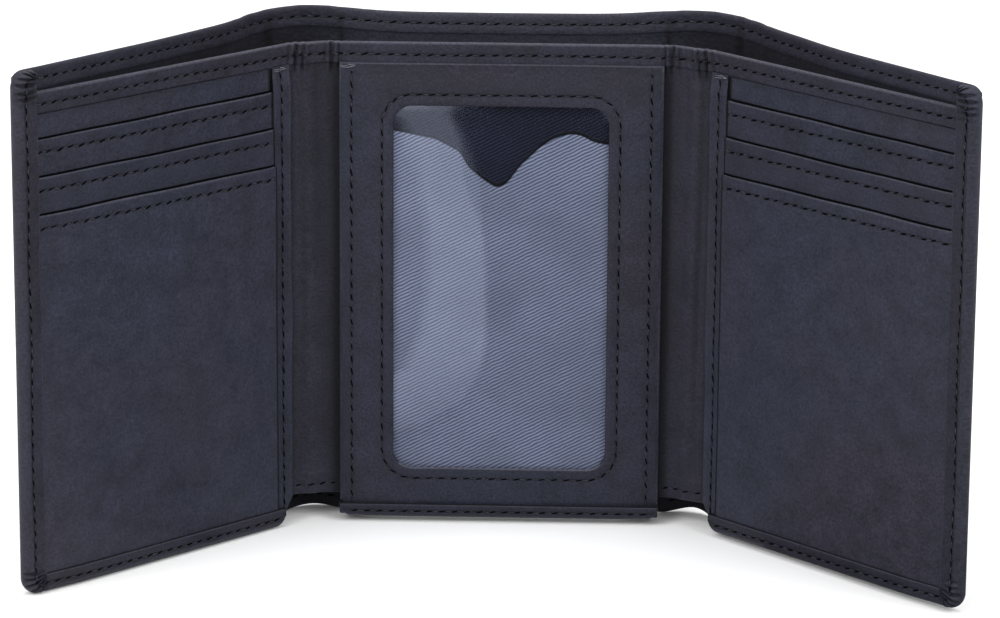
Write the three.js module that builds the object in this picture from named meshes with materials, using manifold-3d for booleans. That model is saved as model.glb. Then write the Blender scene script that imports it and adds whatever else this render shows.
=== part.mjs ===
// Leather trifold wallet, standing on its bottom edges with both wings swung half forward.
// Millimetres, +Z up, the open side faces -Y.
// Origin: middle of the centre panel, on the front face of the inner leather, at the bottom edge.
import * as THREE from "three";
import { mergeVertices } from "three/addons/utils/BufferGeometryUtils.js";
import Module from "manifold-3d";

const wasm = await Module();
wasm.setup();

// Driving dimensions
const shellHeight = 108; // outer leather, bottom edge to top edge
const liningTop = 103.3; // top edge of the inner leather, the mouth of the note compartment
const centreHalf = 33.6; // half width of the centre panel
const innerFold = 33.9; // x of the fold line between the centre panel and a spine
const spineWidth = 9.2; // fold line to fold line
const wingLength = 74; // outer fold line to the free edge
const cornerRadius = 3.5; // of the free corners
const clear = 0.3; // gap between neighbours that would touch
const layerGap = 0.15; // gap between stacked sheets

// Leather and cloth
const shellLeather = 0.8;
const liningLeather = 0.6;
const facingLeather = 0.45;
const wrapLeather = 0.4;
const cloth = 0.2;
const vinyl = 0.25;

// Note compartment: how far the outer leather stands behind the front face of the inner leather
const tightGap = 0.9;
const wingMouth = 5; // extra at the top of a wing, next to its fold
const centreFoot = 1.2;
const centreMouth = 6.2; // extra at the top of the centre panel
const spineDepth = 8.2;
const bulge = 0.6; // exponent of the curve from bottom to top, under 1 is fuller

// Edges
const footLeather = 0.7; // turned edge under the layers
const innerFoot = 1.0; // bottom edge of the layers inside the turned edge
const centreWrapHeight = 3.6;
const wingWrapHeight = 3.9;
const sideWrapWidth = 6;
const wrapStart = 4.6; // the bottom wrap of a wing stops this far from the fold line
const wrapFront = 2.7; // how far a wing's wraps stand in front of the inner leather
const centreWrapFront = 2.9;
const topHemHeight = 4.1;
const liningHemHeight = 4.6;
const spineHemHeight = 4.8;
const spineFoot = 5.5; // bottom edge of the inner leather in a spine

// Card pockets on a wing, from the rear one forward
const bindingStart = 1.3;
const bindingEnd = 6.2;
const bindingFront = 0.9;
const slotStart = 6.5;
const slotEnd = 73;
const slotTops = [93.8, 86.1, 78.5];
const facingOverlap = 2; // a facing reaches this far below the mouth in front of it
const tailFoot = 12; // bottom of the cloth tail of a facing

// Picture pocket on the centre panel
const frameTop = 99.1;
const windowHalf = 22.3;
const windowFoot = 11.9;
const windowTop = 90.2;
const windowRadius = 4;
const paneMargin = 2.2;
const pocketHalf = 30.2;
const pocketFoot = 5;
const pocketTop = 96.5;
const notchHalf = 20;
const notchDepth = 21;

// Folds: angles from flat to the standing pose, inner fold first
const foldAtRest = { left: [10, 35], right: [21.4, 23.6] };

const leather = { color: 0x32343e, roughness: 0.62, metalness: 0 };
const materials = {
  shell: leather,
  lining: leather,
  facing: { color: 0x343641, roughness: 0.6, metalness: 0 },
  hem: { color: 0x2b2d34, roughness: 0.65, metalness: 0 },
  twill: { color: 0x565c72, roughness: 0.85, metalness: 0 },
  blackCloth: { color: 0x1b1c24, roughness: 0.9, metalness: 0 },
  pane: { color: 0xc9d2e2, roughness: 0.12, metalness: 0, transparent: true, opacity: 0.3 },
};

function toSolid(geometry) {
  const bare = geometry.clone();
  bare.deleteAttribute("normal");
  bare.deleteAttribute("uv");
  const merged = mergeVertices(bare, 1e-4);
  const mesh = new wasm.Mesh({
    numProp: 3,
    vertProperties: merged.attributes.position.array,
    triVerts: new Uint32Array(merged.index.array),
  });
  return new wasm.Manifold(mesh);
}

function toGeometry(solid) {
  const mesh = solid.getMesh();
  const geometry = new THREE.BufferGeometry();
  geometry.setAttribute("position", new THREE.BufferAttribute(mesh.vertProperties, 3));
  geometry.setIndex(new THREE.BufferAttribute(mesh.triVerts, 1));
  geometry.computeVertexNormals();
  return geometry;
}

// Corners run counter-clockwise from low x, low z; a radius of 0 leaves a corner sharp
function outline(x0, x1, z0, z1, radii = [0, 0, 0, 0], steps = 6) {
  const signs = [[1, 1], [-1, 1], [-1, -1], [1, -1]];
  const corners = [[x0, z0], [x1, z0], [x1, z1], [x0, z1]];
  const points = [];
  corners.forEach(([x, z], i) => {
    const r = radii[i];
    const count = r > 0 ? steps : 0;
    for (let k = 0; k <= count; k++) {
      const turn = Math.PI * (1 + i / 2) + (count ? (k / count) * (Math.PI / 2) : 0);
      const cx = x + signs[i][0] * r;
      const cz = z + signs[i][1] * r;
      points.push(new THREE.Vector2(cx + r * Math.cos(turn), cz + r * Math.sin(turn)));
    }
  });
  return points;
}

// A sheet with an outline in x and z, from yFront back to yBack
function sheet(points, yFront, yBack, hole) {
  const shape = new THREE.Shape(points);
  if (hole) shape.holes.push(new THREE.Path(hole));
  const geometry = new THREE.ExtrudeGeometry(shape, { depth: yBack - yFront, bevelEnabled: false });
  geometry.rotateX(Math.PI / 2);
  geometry.translate(0, yBack, 0);
  return geometry;
}

// Low and high x of a stretch measured outwards from a fold line
function span(side, s0, s1) {
  return side > 0 ? [s0, s1] : [-s1, -s0];
}

function sideSheet(side, s0, s1, z0, z1, yFront, yBack) {
  return sheet(outline(...span(side, s0, s1), z0, z1), yFront, yBack);
}

// A thick sheet whose front face lies at depthAt(distance from the fold line, height)
function bentSheet(x0, x1, z0, z1, thick, depthAt, across, up) {
  const geometry = new THREE.BoxGeometry(x1 - x0, thick, z1 - z0, across, 1, up);
  geometry.translate((x0 + x1) / 2, thick / 2, (z0 + z1) / 2);
  const position = geometry.attributes.position;
  for (let i = 0; i < position.count; i++) {
    const depth = depthAt(Math.abs(position.getX(i)), position.getZ(i));
    position.setY(i, position.getY(i) + depth);
  }
  return geometry;
}

// A strip with its section in y and z, carried from x0 to x1
function stripAlongX(section, x0, x1) {
  const shape = new THREE.Shape(section.map(([y, z]) => new THREE.Vector2(y, z)));
  const geometry = new THREE.ExtrudeGeometry(shape, { depth: x1 - x0, bevelEnabled: false });
  const turn = new THREE.Matrix4();
  turn.makeBasis(new THREE.Vector3(0, 1, 0), new THREE.Vector3(0, 0, 1), new THREE.Vector3(1, 0, 0));
  geometry.applyMatrix4(turn);
  geometry.translate(x0, 0, 0);
  return geometry;
}

// Edge turned under the layers and up their front
function bottomWrap(x0, x1, front, back, height) {
  const face = -front + wrapLeather;
  const section = [[-front, 0], [back, 0], [back, footLeather], [face, footLeather], [face, height]];
  section.push([-front, height]);
  return stripAlongX(section, x0, x1);
}

// Rounds the two free corners of a wing piece
function roundFreeCorners(side, geometry) {
  const radii = side > 0 ? [0, cornerRadius, cornerRadius, 0] : [cornerRadius, 0, 0, cornerRadius];
  const reach = 20;
  const keep = sheet(outline(...span(side, -1, wingLength), 0, shellHeight, radii), -reach, reach);
  return toGeometry(toSolid(geometry).intersect(toSolid(keep)));
}

function add(group, name, look, geometry) {
  const piece = new THREE.Mesh(geometry, new THREE.MeshStandardMaterial(materials[look]));
  piece.name = name;
  group.add(piece);
}

function centreDepth(x, z) {
  return centreFoot + centreMouth * Math.pow(z / shellHeight, bulge);
}

function wingDepth(s, z) {
  return tightGap + wingMouth * (1 - s / wingLength) * Math.pow(z / shellHeight, bulge);
}

// Pocket lining with a soft V notch in its top edge for a thumb
function notchedOutline() {
  const points = outline(-pocketHalf, pocketHalf, pocketFoot, pocketTop).slice(0, 3);
  const steps = 16;
  for (let k = 0; k <= steps; k++) {
    const x = notchHalf * (1 - (2 * k) / steps);
    const drop = Math.pow(Math.cos((x / notchHalf) * (Math.PI / 2)), 2);
    points.push(new THREE.Vector2(x, pocketTop - notchDepth * drop));
  }
  points.push(new THREE.Vector2(-pocketHalf, pocketTop));
  return points;
}

function buildCentre(group) {
  const hemDepth = (x, z) => centreDepth(x, z) - clear - wrapLeather;
  const hemFoot = shellHeight - clear - topHemHeight;
  add(group, "shell_centre", "shell",
    bentSheet(-centreHalf, centreHalf, 0, shellHeight, shellLeather, centreDepth, 1, 12));
  add(group, "shell_top_hem_centre", "hem",
    bentSheet(-centreHalf, centreHalf, hemFoot, shellHeight - clear, wrapLeather, hemDepth, 1, 2));
  add(group, "bottom_wrap_centre", "hem",
    bottomWrap(-centreHalf, centreHalf, centreWrapFront, centreFoot - clear, centreWrapHeight));
  add(group, "lining_centre", "lining",
    sheet(outline(-centreHalf, centreHalf, innerFoot, liningTop), 0, liningLeather));
  add(group, "lining_top_hem_centre", "hem",
    sheet(outline(-centreHalf, centreHalf, liningTop - liningHemHeight, liningTop),
      liningLeather + layerGap, liningLeather + layerGap + wrapLeather));

  const backFront = -layerGap - cloth;
  const liningFront = backFront - layerGap - cloth;
  const paneFront = liningFront - layerGap - vinyl;
  const frameFront = paneFront - layerGap - facingLeather;
  add(group, "id_pocket_back", "blackCloth",
    sheet(outline(-pocketHalf, pocketHalf, pocketFoot, pocketTop), backFront, -layerGap));
  add(group, "id_pocket_lining", "twill",
    sheet(notchedOutline(), liningFront, backFront - layerGap));
  add(group, "id_window_pane", "pane",
    sheet(outline(-windowHalf - paneMargin, windowHalf + paneMargin,
      windowFoot - paneMargin, windowTop + paneMargin), paneFront, liningFront - layerGap));
  const round = [windowRadius, windowRadius, windowRadius, windowRadius];
  add(group, "id_frame", "facing",
    sheet(outline(-centreHalf, centreHalf, innerFoot, frameTop), frameFront, paneFront - layerGap,
      outline(-windowHalf, windowHalf, windowFoot, windowTop, round)));
}

function buildSpine(group, side, word) {
  const start = 0.2;
  const end = spineWidth - start;
  const hemBack = spineDepth - clear;
  const hemFront = hemBack - wrapLeather;
  const turnFront = liningLeather + layerGap;
  const turnBack = turnFront + wrapLeather;
  add(group, `shell_${word}_spine`, "shell",
    sideSheet(side, start, end, 0, shellHeight, spineDepth, spineDepth + shellLeather));
  add(group, `shell_top_hem_${word}_spine`, "hem",
    sideSheet(side, start, end, shellHeight - clear - topHemHeight, shellHeight - clear,
      hemFront, hemBack));
  add(group, `shell_bottom_hem_${word}_spine`, "hem",
    sideSheet(side, start, end, clear, spineHemHeight, hemFront, hemBack));
  add(group, `lining_${word}_spine`, "lining",
    sideSheet(side, start, end, spineFoot, liningTop, 0, liningLeather));
  add(group, `lining_top_hem_${word}_spine`, "hem",
    sideSheet(side, start, end, liningTop - liningHemHeight, liningTop, turnFront, turnBack));
  add(group, `lining_bottom_hem_${word}_spine`, "hem",
    sideSheet(side, start, end, spineFoot, spineFoot + spineHemHeight, turnFront, turnBack));
}

// Three stepped facings: the two rear ones go on below their mouth as a cloth tail, the front one
// is a full panel
function addCardSlots(group, side, word, rearLayer) {
  let back = rearLayer;
  slotTops.forEach((top, i) => {
    const isPanel = i === slotTops.length - 1;
    const front = back - facingLeather;
    const foot = isPanel ? innerFoot : slotTops[i + 1] - facingOverlap;
    add(group, `card_slot_${word}_${i + 1}`, "facing",
      sideSheet(side, slotStart, slotEnd, foot, top, front, back));
    if (!isPanel) {
      add(group, `card_slot_tail_${word}_${i + 1}`, "blackCloth",
        sideSheet(side, slotStart, slotEnd, tailFoot, foot - clear, back - cloth, back));
    }
    back = front - layerGap;
  });
}

function buildWing(group, side, word) {
  const start = 0.25;
  const hemEnd = wingLength - cornerRadius;
  const hemFoot = liningTop + clear;
  const hemTop = shellHeight - clear;
  const hemDepth = (s, z) => wingDepth(s, z) - clear - wrapLeather;
  const outer = span(side, start, wingLength);
  const turnFront = liningLeather + layerGap;
  const turnEnd = 56; // further out the compartment is too thin for a turned edge
  add(group, `shell_${word}_wing`, "shell",
    roundFreeCorners(side, bentSheet(...outer, 0, shellHeight, shellLeather, wingDepth, 6, 8)));
  add(group, `shell_top_hem_${word}_wing`, "hem",
    bentSheet(...span(side, start, hemEnd), hemFoot, hemTop, wrapLeather, hemDepth, 4, 1));
  add(group, `lining_${word}_wing`, "lining",
    sideSheet(side, start, slotEnd, innerFoot, liningTop, 0, liningLeather));
  add(group, `lining_top_hem_${word}_wing`, "hem",
    sideSheet(side, start, turnEnd, liningTop - liningHemHeight, liningTop,
      turnFront, turnFront + wrapLeather));

  const wrapBack = tightGap - clear;
  const face = -wrapFront + wrapLeather;
  const sideOutline = [
    [wingLength - sideWrapWidth, -wrapFront], [wingLength, -wrapFront], [wingLength, wrapBack],
    [wingLength - footLeather, wrapBack], [wingLength - footLeather, face],
    [wingLength - sideWrapWidth, face],
  ];
  const sideShape = new THREE.Shape(sideOutline.map(([s, y]) => new THREE.Vector2(side * s, y)));
  const sideWrap = new THREE.ExtrudeGeometry(sideShape, { depth: shellHeight, bevelEnabled: false });
  add(group, `side_wrap_${word}_wing`, "hem", roundFreeCorners(side, sideWrap));
  const wrapEnd = wingLength - sideWrapWidth - clear;
  add(group, `bottom_wrap_${word}_wing`, "hem",
    bottomWrap(...span(side, wrapStart, wrapEnd), wrapFront, wrapBack, wingWrapHeight));

  const backingGap = 0.1;
  const backingFront = -backingGap - cloth;
  add(group, `slip_pocket_backing_${word}`, "blackCloth",
    sideSheet(side, slotStart, slotEnd, innerFoot, frameTop, backingFront, -backingGap));
  add(group, `inner_binding_${word}`, "facing",
    sideSheet(side, bindingStart, bindingEnd, innerFoot, frameTop, -bindingFront,
      -bindingFront + liningLeather));
  addCardSlots(group, side, word, backingFront - layerGap);
}

const wallet = new THREE.Group();
buildCentre(wallet);
for (const [word, side] of [["left", -1], ["right", 1]]) {
  const [inner, outer] = foldAtRest[word].map((angle) => THREE.MathUtils.degToRad(-side * angle));
  const spine = new THREE.Group();
  spine.position.x = side * innerFold;
  spine.rotation.z = inner;
  buildSpine(spine, side, word);
  const wing = new THREE.Group();
  wing.position.x = side * spineWidth;
  wing.rotation.z = outer;
  buildWing(wing, side, word);
  spine.add(wing);
  wallet.add(spine);
}

export default wallet;
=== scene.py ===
# Leather trifold wallet, standing half open.
# Sizes are millimetres until a mesh is made. Every piece is worked out in unfolded terms first:
# u runs along the folded leather from the left free edge to the right one, 0 in the middle,
# depth runs from the front face of the inner leather towards the back, z runs up.
import math

import bpy
import numpy as np
from mathutils import Matrix


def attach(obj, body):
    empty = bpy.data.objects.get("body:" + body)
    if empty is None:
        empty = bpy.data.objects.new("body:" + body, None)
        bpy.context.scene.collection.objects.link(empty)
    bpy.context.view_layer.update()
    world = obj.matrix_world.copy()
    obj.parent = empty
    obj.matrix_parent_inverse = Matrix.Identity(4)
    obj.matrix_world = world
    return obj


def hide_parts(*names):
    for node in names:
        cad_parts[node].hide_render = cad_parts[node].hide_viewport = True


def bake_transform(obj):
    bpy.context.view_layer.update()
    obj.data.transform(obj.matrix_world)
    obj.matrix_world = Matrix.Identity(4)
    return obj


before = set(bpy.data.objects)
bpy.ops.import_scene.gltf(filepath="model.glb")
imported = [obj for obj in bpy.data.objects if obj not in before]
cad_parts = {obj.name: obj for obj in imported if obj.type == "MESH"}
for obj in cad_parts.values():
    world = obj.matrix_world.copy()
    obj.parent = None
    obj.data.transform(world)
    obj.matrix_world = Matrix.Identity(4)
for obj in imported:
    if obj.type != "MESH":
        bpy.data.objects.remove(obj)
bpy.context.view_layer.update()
print("frame loaded:", len(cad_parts), "nodes")

plan = {
    "innerFold": 33.9,
    "spineWidth": 9.2,
    "wingLength": 74.0,
    "leftTurns": (10.0, 45.0),  # degrees off the centre panel, spine then wing
    "rightTurns": (21.4, 45.0),
    "shellTop": 108.0,
    "liningTop": 103.3,
    "cornerRadius": 3.5,
    "shellThick": 0.8,
    "trim": {"left": 0.8, "right": 0.0},  # the left wing's free edge sits in a little
    "lift": {"left": 0.0, "right": 0.7},  # and the right wing's foot a little up
}
outerFold = plan["innerFold"] + plan["spineWidth"]
pathEnd = outerFold + plan["wingLength"]
midSpine = plan["innerFold"] + plan["spineWidth"] / 2
shellTop = plan["shellTop"]
liningTop = plan["liningTop"]
sides = {"left": -1, "right": 1}


# Corner points of the folded line seen from above, each end run on 40 mm past the free edge
def planCorners():
    lengths = (plan["innerFold"], plan["spineWidth"], plan["wingLength"] + 40)
    runs = {}
    for word, sign in sides.items():
        turns = np.radians((0.0,) + plan[word + "Turns"])
        stepX = sign * np.cos(turns) * lengths
        stepY = -np.sin(turns) * lengths
        runs[word] = (np.cumsum(stepX), np.cumsum(stepY))
    knots = np.array([-pathEnd - 40, -outerFold, -plan["innerFold"],
                      plan["innerFold"], outerFold, pathEnd + 40])
    cornerX = np.concatenate([runs["left"][0][::-1], runs["right"][0]])
    cornerY = np.concatenate([runs["left"][1][::-1], runs["right"][1]])
    return knots, cornerX, cornerY


knots, cornerX, cornerY = planCorners()


# Point of the folded line at u and its unit normal towards the back. The line is the mean of the
# sharp one over a stretch as long as soften, so each fold is a short parabola.
def foldLine(u, soften):
    reach = np.linspace(-0.5, 0.5, 9) * soften
    x = sum(np.interp(u + r, knots, cornerX) for r in reach) / len(reach)
    y = sum(np.interp(u + r, knots, cornerY) for r in reach) / len(reach)
    half = max(soften, 0.02) / 2
    dx = np.interp(u + half, knots, cornerX) - np.interp(u - half, knots, cornerX)
    dy = np.interp(u + half, knots, cornerY) - np.interp(u - half, knots, cornerY)
    length = np.hypot(dx, dy)
    return x, y, -dy / length, dx / length


# Place of (u, depth, z): the folded line's point plus depth times its normal
def toWorld(u, depth, z, soften=0.02):
    u, depth, z = np.broadcast_arrays(u, depth, z)
    x, y, nx, ny = foldLine(u, soften)
    return np.stack([x + nx * depth, y + ny * depth, z], -1)


# 0 below low, 1 above high, and 3t^2 - 2t^3 between them
def smooth(x, low, high):
    t = np.clip((x - low) / (high - low), 0, 1)
    return t * t * (3 - 2 * t)


# Bell curve, 1 in the middle and 1/e a width away
def bump(x, middle, width):
    return np.exp(-((x - middle) / width) ** 2)


# A broken line through the given points, rounded by averaging over a stretch of that width
def softLine(x, xs, ys, width):
    reach = np.linspace(-0.5, 0.5, 7) * width
    return sum(np.interp(x + r, xs, ys) for r in reach) / len(reach)


# Slow unevenness: three crossing waves whose lengths have no common measure
def unevenness(u, z, length, phase=0.0):
    k = 2 * math.pi / length
    return (np.sin(k * (u + 0.37 * z) + phase) + np.sin(k * (0.61 * u - 0.83 * z) + 2.1 * phase)
            + np.sin(k * (1.27 * z - 0.29 * u) + 0.7 * phase)) / 3


# Faces between neighbouring points of a grid, closed round either way if asked
def quadsOf(rows, columns, rowsClosed, columnsClosed):
    i = np.arange(rows if rowsClosed else rows - 1)[:, None]
    j = np.arange(columns if columnsClosed else columns - 1)[None]
    nextI = (i + 1) % rows
    nextJ = (j + 1) % columns
    return np.stack([i * columns + j, i * columns + nextJ, nextI * columns + nextJ,
                     nextI * columns + j], -1).reshape(-1, 4)


# Six times the volume that the faces enclose, positive when they point outwards
def signedVolume(points, faces):
    a, b, c = (points[faces[:, k]] for k in range(3))
    total = np.einsum("ij,ij->", a, np.cross(b, c))
    if faces.shape[1] == 4:
        d = points[faces[:, 3]]
        total += np.einsum("ij,ij->", a, np.cross(c, d))
    return total


# Makes the mesh object. hide is the point's place on the unfolded leather, which the materials read,
# dark is 0 to 1 of painted shade in creases, grooves, folds and gaps, and the last share is 0 to 1 of
# rubbed edges with painted highlights and painted light.
def makeObject(name, points, faces, hide, dark, wearAndPaintedLight, looks, faceLooks=None, sharpAngle=48):
    mesh = bpy.data.meshes.new(name)
    mesh.from_pydata((points * 0.001).tolist(), [], faces)
    for label, values, kind in (("hidePlace", hide, "FLOAT_VECTOR"), ("paintedShade", dark, "FLOAT"),
                                ("wearAndPaintedLight", wearAndPaintedLight, "FLOAT")):
        attribute = mesh.attributes.new(label, kind, "POINT")
        field = "vector" if kind == "FLOAT_VECTOR" else "value"
        attribute.data.foreach_set(field, np.ascontiguousarray(values, np.float32).ravel())
    for look in looks:
        mesh.materials.append(look)
    if faceLooks is not None:
        mesh.polygons.foreach_set("material_index", faceLooks)
    mesh.shade_smooth()
    mesh.set_sharp_from_angle(angle=math.radians(sharpAngle))
    mesh.update()
    piece = bpy.data.objects.new(name, mesh)
    bpy.context.collection.objects.link(piece)
    return piece


# A closed section carried along a path: row i of u, depth and z is the section at station i.
# The ends are closed unless the path itself is.
def sweep(name, u, depth, z, look, ring=False, soften=0.02, dark=0.0, wearAndPaintedLight=0.0, layer=0.0):
    u, depth, z, dark, wearAndPaintedLight = np.broadcast_arrays(u, depth, z, dark, wearAndPaintedLight)
    rows, columns = u.shape
    points = toWorld(u, depth, z, soften).reshape(-1, 3)
    hide = np.stack([u, z, depth * 0.3 + layer], -1).reshape(-1, 3)
    quads = quadsOf(rows, columns, ring, True)
    turned = signedVolume(points, quads) < 0
    if turned:
        quads = quads[:, ::-1]
    faces = quads.tolist()
    if not ring:
        first = list(range(columns))
        last = [(rows - 1) * columns + k for k in range(columns)]
        faces += [first, last[::-1]] if turned else [first[::-1], last]
    return makeObject(name, points, faces, hide, dark.ravel(), wearAndPaintedLight.ravel(), [look])


# Two facing grids joined round their rim
def slab(name, u, front, back, z, look, dark=0.0, wearAndPaintedLight=0.0, layer=0.0):
    u, front, back, z, dark, wearAndPaintedLight = np.broadcast_arrays(u, front, back, z, dark, wearAndPaintedLight)
    rows, columns = u.shape
    count = rows * columns
    points = np.concatenate([toWorld(u, front, z).reshape(-1, 3), toWorld(u, back, z).reshape(-1, 3)])
    grid = quadsOf(rows, columns, False, False)
    index = np.arange(count).reshape(rows, columns)
    rim = np.concatenate([index[0], index[1:, -1], index[-1, -2::-1], index[-2:0:-1, 0]])
    after = np.roll(rim, -1)
    walls = np.stack([rim, rim + count, after + count, after], -1)
    quads = np.concatenate([grid, grid[:, ::-1] + count, walls])
    if signedVolume(points, quads) < 0:
        quads = quads[:, ::-1]
    hide = np.stack([u, z, np.full(u.shape, layer)], -1).reshape(-1, 3)
    return makeObject(name, points, quads.tolist(), np.concatenate([hide, hide]),
                      np.concatenate([dark.ravel()] * 2), np.concatenate([wearAndPaintedLight.ravel()] * 2), [look])


leatherFinish = {
    "grainPerMm": 1.15,
    "grainBump": 0.42,
    "wrinkleBump": 0.26,
    "roughLow": 0.50,
    "roughHigh": 0.64,
    "specular": 0.17,
}


# Short names for adding and joining the nodes of one material
class Tree:
    def __init__(self, name):
        self.material = bpy.data.materials.new(name)
        self.material.use_nodes = True
        self.nodes = self.material.node_tree.nodes
        self.links = self.material.node_tree.links
        self.nodes.clear()
        self.output = self.nodes.new("ShaderNodeOutputMaterial")

    def add(self, kind, **inputs):
        node = self.nodes.new(kind)
        for key, value in inputs.items():
            self.put(node, key, value)
        return node

    def put(self, node, key, value):
        names = {"baseColour": "Base Color", "specular": "Specular IOR Level",
                 "sheenWeight": "Sheen Weight", "sheenRoughness": "Sheen Roughness",
                 "fromMin": "From Min", "fromMax": "From Max", "toMin": "To Min", "toMax": "To Max"}
        if isinstance(key, str):
            key = names.get(key, key[0].upper() + key[1:])
        socket = node.inputs[key]
        if isinstance(value, bpy.types.NodeSocket):
            self.links.new(value, socket)
        else:
            socket.default_value = value

    def attribute(self, label, output):
        node = self.nodes.new("ShaderNodeAttribute")
        node.attribute_name = label
        return node.outputs[output]

    def noise(self, vector, scale, detail=3.0, roughness=0.5, distortion=0.0):
        return self.add("ShaderNodeTexNoise", vector=vector, scale=scale, detail=detail,
                        roughness=roughness, distortion=distortion).outputs["Fac"]

    def remap(self, value, fromMin, fromMax, toMin=0.0, toMax=1.0):
        return self.add("ShaderNodeMapRange", value=value, fromMin=fromMin, fromMax=fromMax,
                        toMin=toMin, toMax=toMax).outputs["Result"]

    def maths(self, operation, a, b=0.0):
        node = self.nodes.new("ShaderNodeMath")
        node.operation = operation
        self.put(node, 0, a)
        self.put(node, 1, b)
        return node.outputs[0]

    def mix(self, factor, a, b, blendType="MIX"):
        node = self.nodes.new("ShaderNodeMix")
        node.data_type = "RGBA"
        node.blend_type = blendType
        self.put(node, 0, factor)
        self.put(node, 6, a)
        self.put(node, 7, b)
        return node.outputs[2]

    def bumped(self, height, strength, distance, normal=None):
        node = self.add("ShaderNodeBump", height=height, strength=strength, distance=distance)
        if normal is not None:
            self.links.new(normal, node.inputs["Normal"])
        return node.outputs["Normal"]

    def finish(self, shader):
        self.links.new(shader, self.output.inputs["Surface"])
        return self.material


# Linear colour from the 0 to 255 values that a picker shows
def picked(r, g, b):
    v = np.array([r, g, b], float) / 255
    v = np.where(v <= 0.04045, v / 12.92, ((v + 0.055) / 1.055) ** 2.4)
    return (*v.tolist(), 1.0)


# Smooth dyed cowhide: slow drift between two tints, mottling, fine grain, painted shade in creases,
# rubbed edges with painted highlights
def leather(name, cool, warm, roughShift=0.0, grainScale=1.0):
    t = Tree(name)
    place = t.attribute("hidePlace", "Vector")
    drift = t.remap(t.noise(place, 0.022, 2.0, 0.55), 0.36, 0.64)
    mottle = t.noise(place, 0.16, 5.0, 0.62)
    fine = t.noise(place, leatherFinish["grainPerMm"] * 1.9 * grainScale, 3.0, 0.6)
    colour = t.mix(drift, cool, warm)
    colour = t.mix(t.remap(mottle, 0.3, 0.7), colour, (0.5, 0.5, 0.52, 1), "OVERLAY")
    shadeOfMottle = t.remap(mottle, 0.25, 0.75, 0.76, 1.24)
    shadeOfGrain = t.remap(fine, 0.3, 0.7, 0.60, 1.38)
    tone = t.maths("MULTIPLY", shadeOfMottle, shadeOfGrain)
    toned = t.nodes.new("ShaderNodeVectorMath")
    toned.operation = "SCALE"
    t.put(toned, 0, colour)
    t.put(toned, "scale", tone)
    # rubbed edges mixed with painted highlights and painted fill light, lighter towards a pale blue grey
    wearAndPaintedLightShare = t.maths("MULTIPLY", t.attribute("wearAndPaintedLight", "Fac"), t.remap(fine, 0.25, 0.75, 0.35, 1.1))
    colour = t.mix(wearAndPaintedLightShare, toned.outputs[0], picked(84, 84, 96))
    # painted shade: creases, grooves, folds and gaps darken towards near black
    dark = t.attribute("paintedShade", "Fac")
    colour = t.mix(dark, colour, picked(9, 9, 13))
    pores = t.add("ShaderNodeTexVoronoi", vector=place, scale=leatherFinish["grainPerMm"] * grainScale,
                  randomness=0.95)
    pores.feature = "SMOOTH_F1"
    pores.inputs["Smoothness"].default_value = 0.35
    wrinkles = t.noise(place, 0.42, 4.0, 0.6, 0.8)
    normal = t.bumped(wrinkles, leatherFinish["wrinkleBump"], 0.0006)
    normal = t.bumped(pores.outputs["Distance"], leatherFinish["grainBump"], 0.00018, normal)
    normal = t.bumped(fine, 0.25, 0.00008, normal)
    rough = t.remap(mottle, 0.25, 0.75, leatherFinish["roughLow"] + roughShift,
                    leatherFinish["roughHigh"] + roughShift)
    rough = t.maths("ADD", rough, t.maths("MULTIPLY", dark, 0.25))
    shader = t.add("ShaderNodeBsdfPrincipled", baseColour=colour, roughness=rough, normal=normal,
                   specular=leatherFinish["specular"], sheenWeight=0.04, sheenRoughness=0.45)
    return t.finish(shader.outputs[0])


twillFinish = {"risePerLine": 0.747, "runPerLine": 1.487, "lineBump": 0.5}


# Fine diagonal ribs: the phase is height over the rise of one rib less breadth over its run
def twill(name, light, dark):
    t = Tree(name)
    place = t.attribute("hidePlace", "Vector")
    parts = t.add("ShaderNodeSeparateXYZ", vector=place)
    phase = t.maths("SUBTRACT",
                    t.maths("MULTIPLY", parts.outputs[1], 2 * math.pi / twillFinish["risePerLine"]),
                    t.maths("MULTIPLY", parts.outputs[0], 2 * math.pi / twillFinish["runPerLine"]))
    waver = t.remap(t.noise(place, 0.5, 3.0), 0.3, 0.7, -0.9, 0.9)
    rib = t.maths("SINE", t.maths("ADD", phase, waver))
    rib = t.remap(rib, -1.0, 1.0)
    yarnPhase = t.maths("ADD", t.maths("MULTIPLY", parts.outputs[0], 2 * math.pi / 0.42),
                        t.maths("MULTIPLY", parts.outputs[1], 2 * math.pi / 0.9))
    yarn = t.remap(t.maths("SINE", yarnPhase), -1.0, 1.0)
    cloudy = t.noise(place, 0.07, 3.0)
    height = t.maths("ADD", rib, t.maths("MULTIPLY", yarn, 0.35))
    colour = t.mix(rib, dark, light)
    colour = t.mix(t.maths("MULTIPLY", yarn, 0.22), colour, dark)
    colour = t.mix(t.remap(cloudy, 0.35, 0.65, 0.0, 0.3), colour, dark)
    # painted shade: a dark line along the cut top edge, carried in the same share as the leather's wear
    colour = t.mix(t.attribute("wearAndPaintedLight", "Fac"), colour, picked(6, 6, 12))
    normal = t.bumped(height, twillFinish["lineBump"], 0.0001)
    shader = t.add("ShaderNodeBsdfPrincipled", baseColour=colour, roughness=0.78, normal=normal,
                   specular=0.25, sheenWeight=0.15, sheenRoughness=0.4)
    return t.finish(shader.outputs[0])


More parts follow.
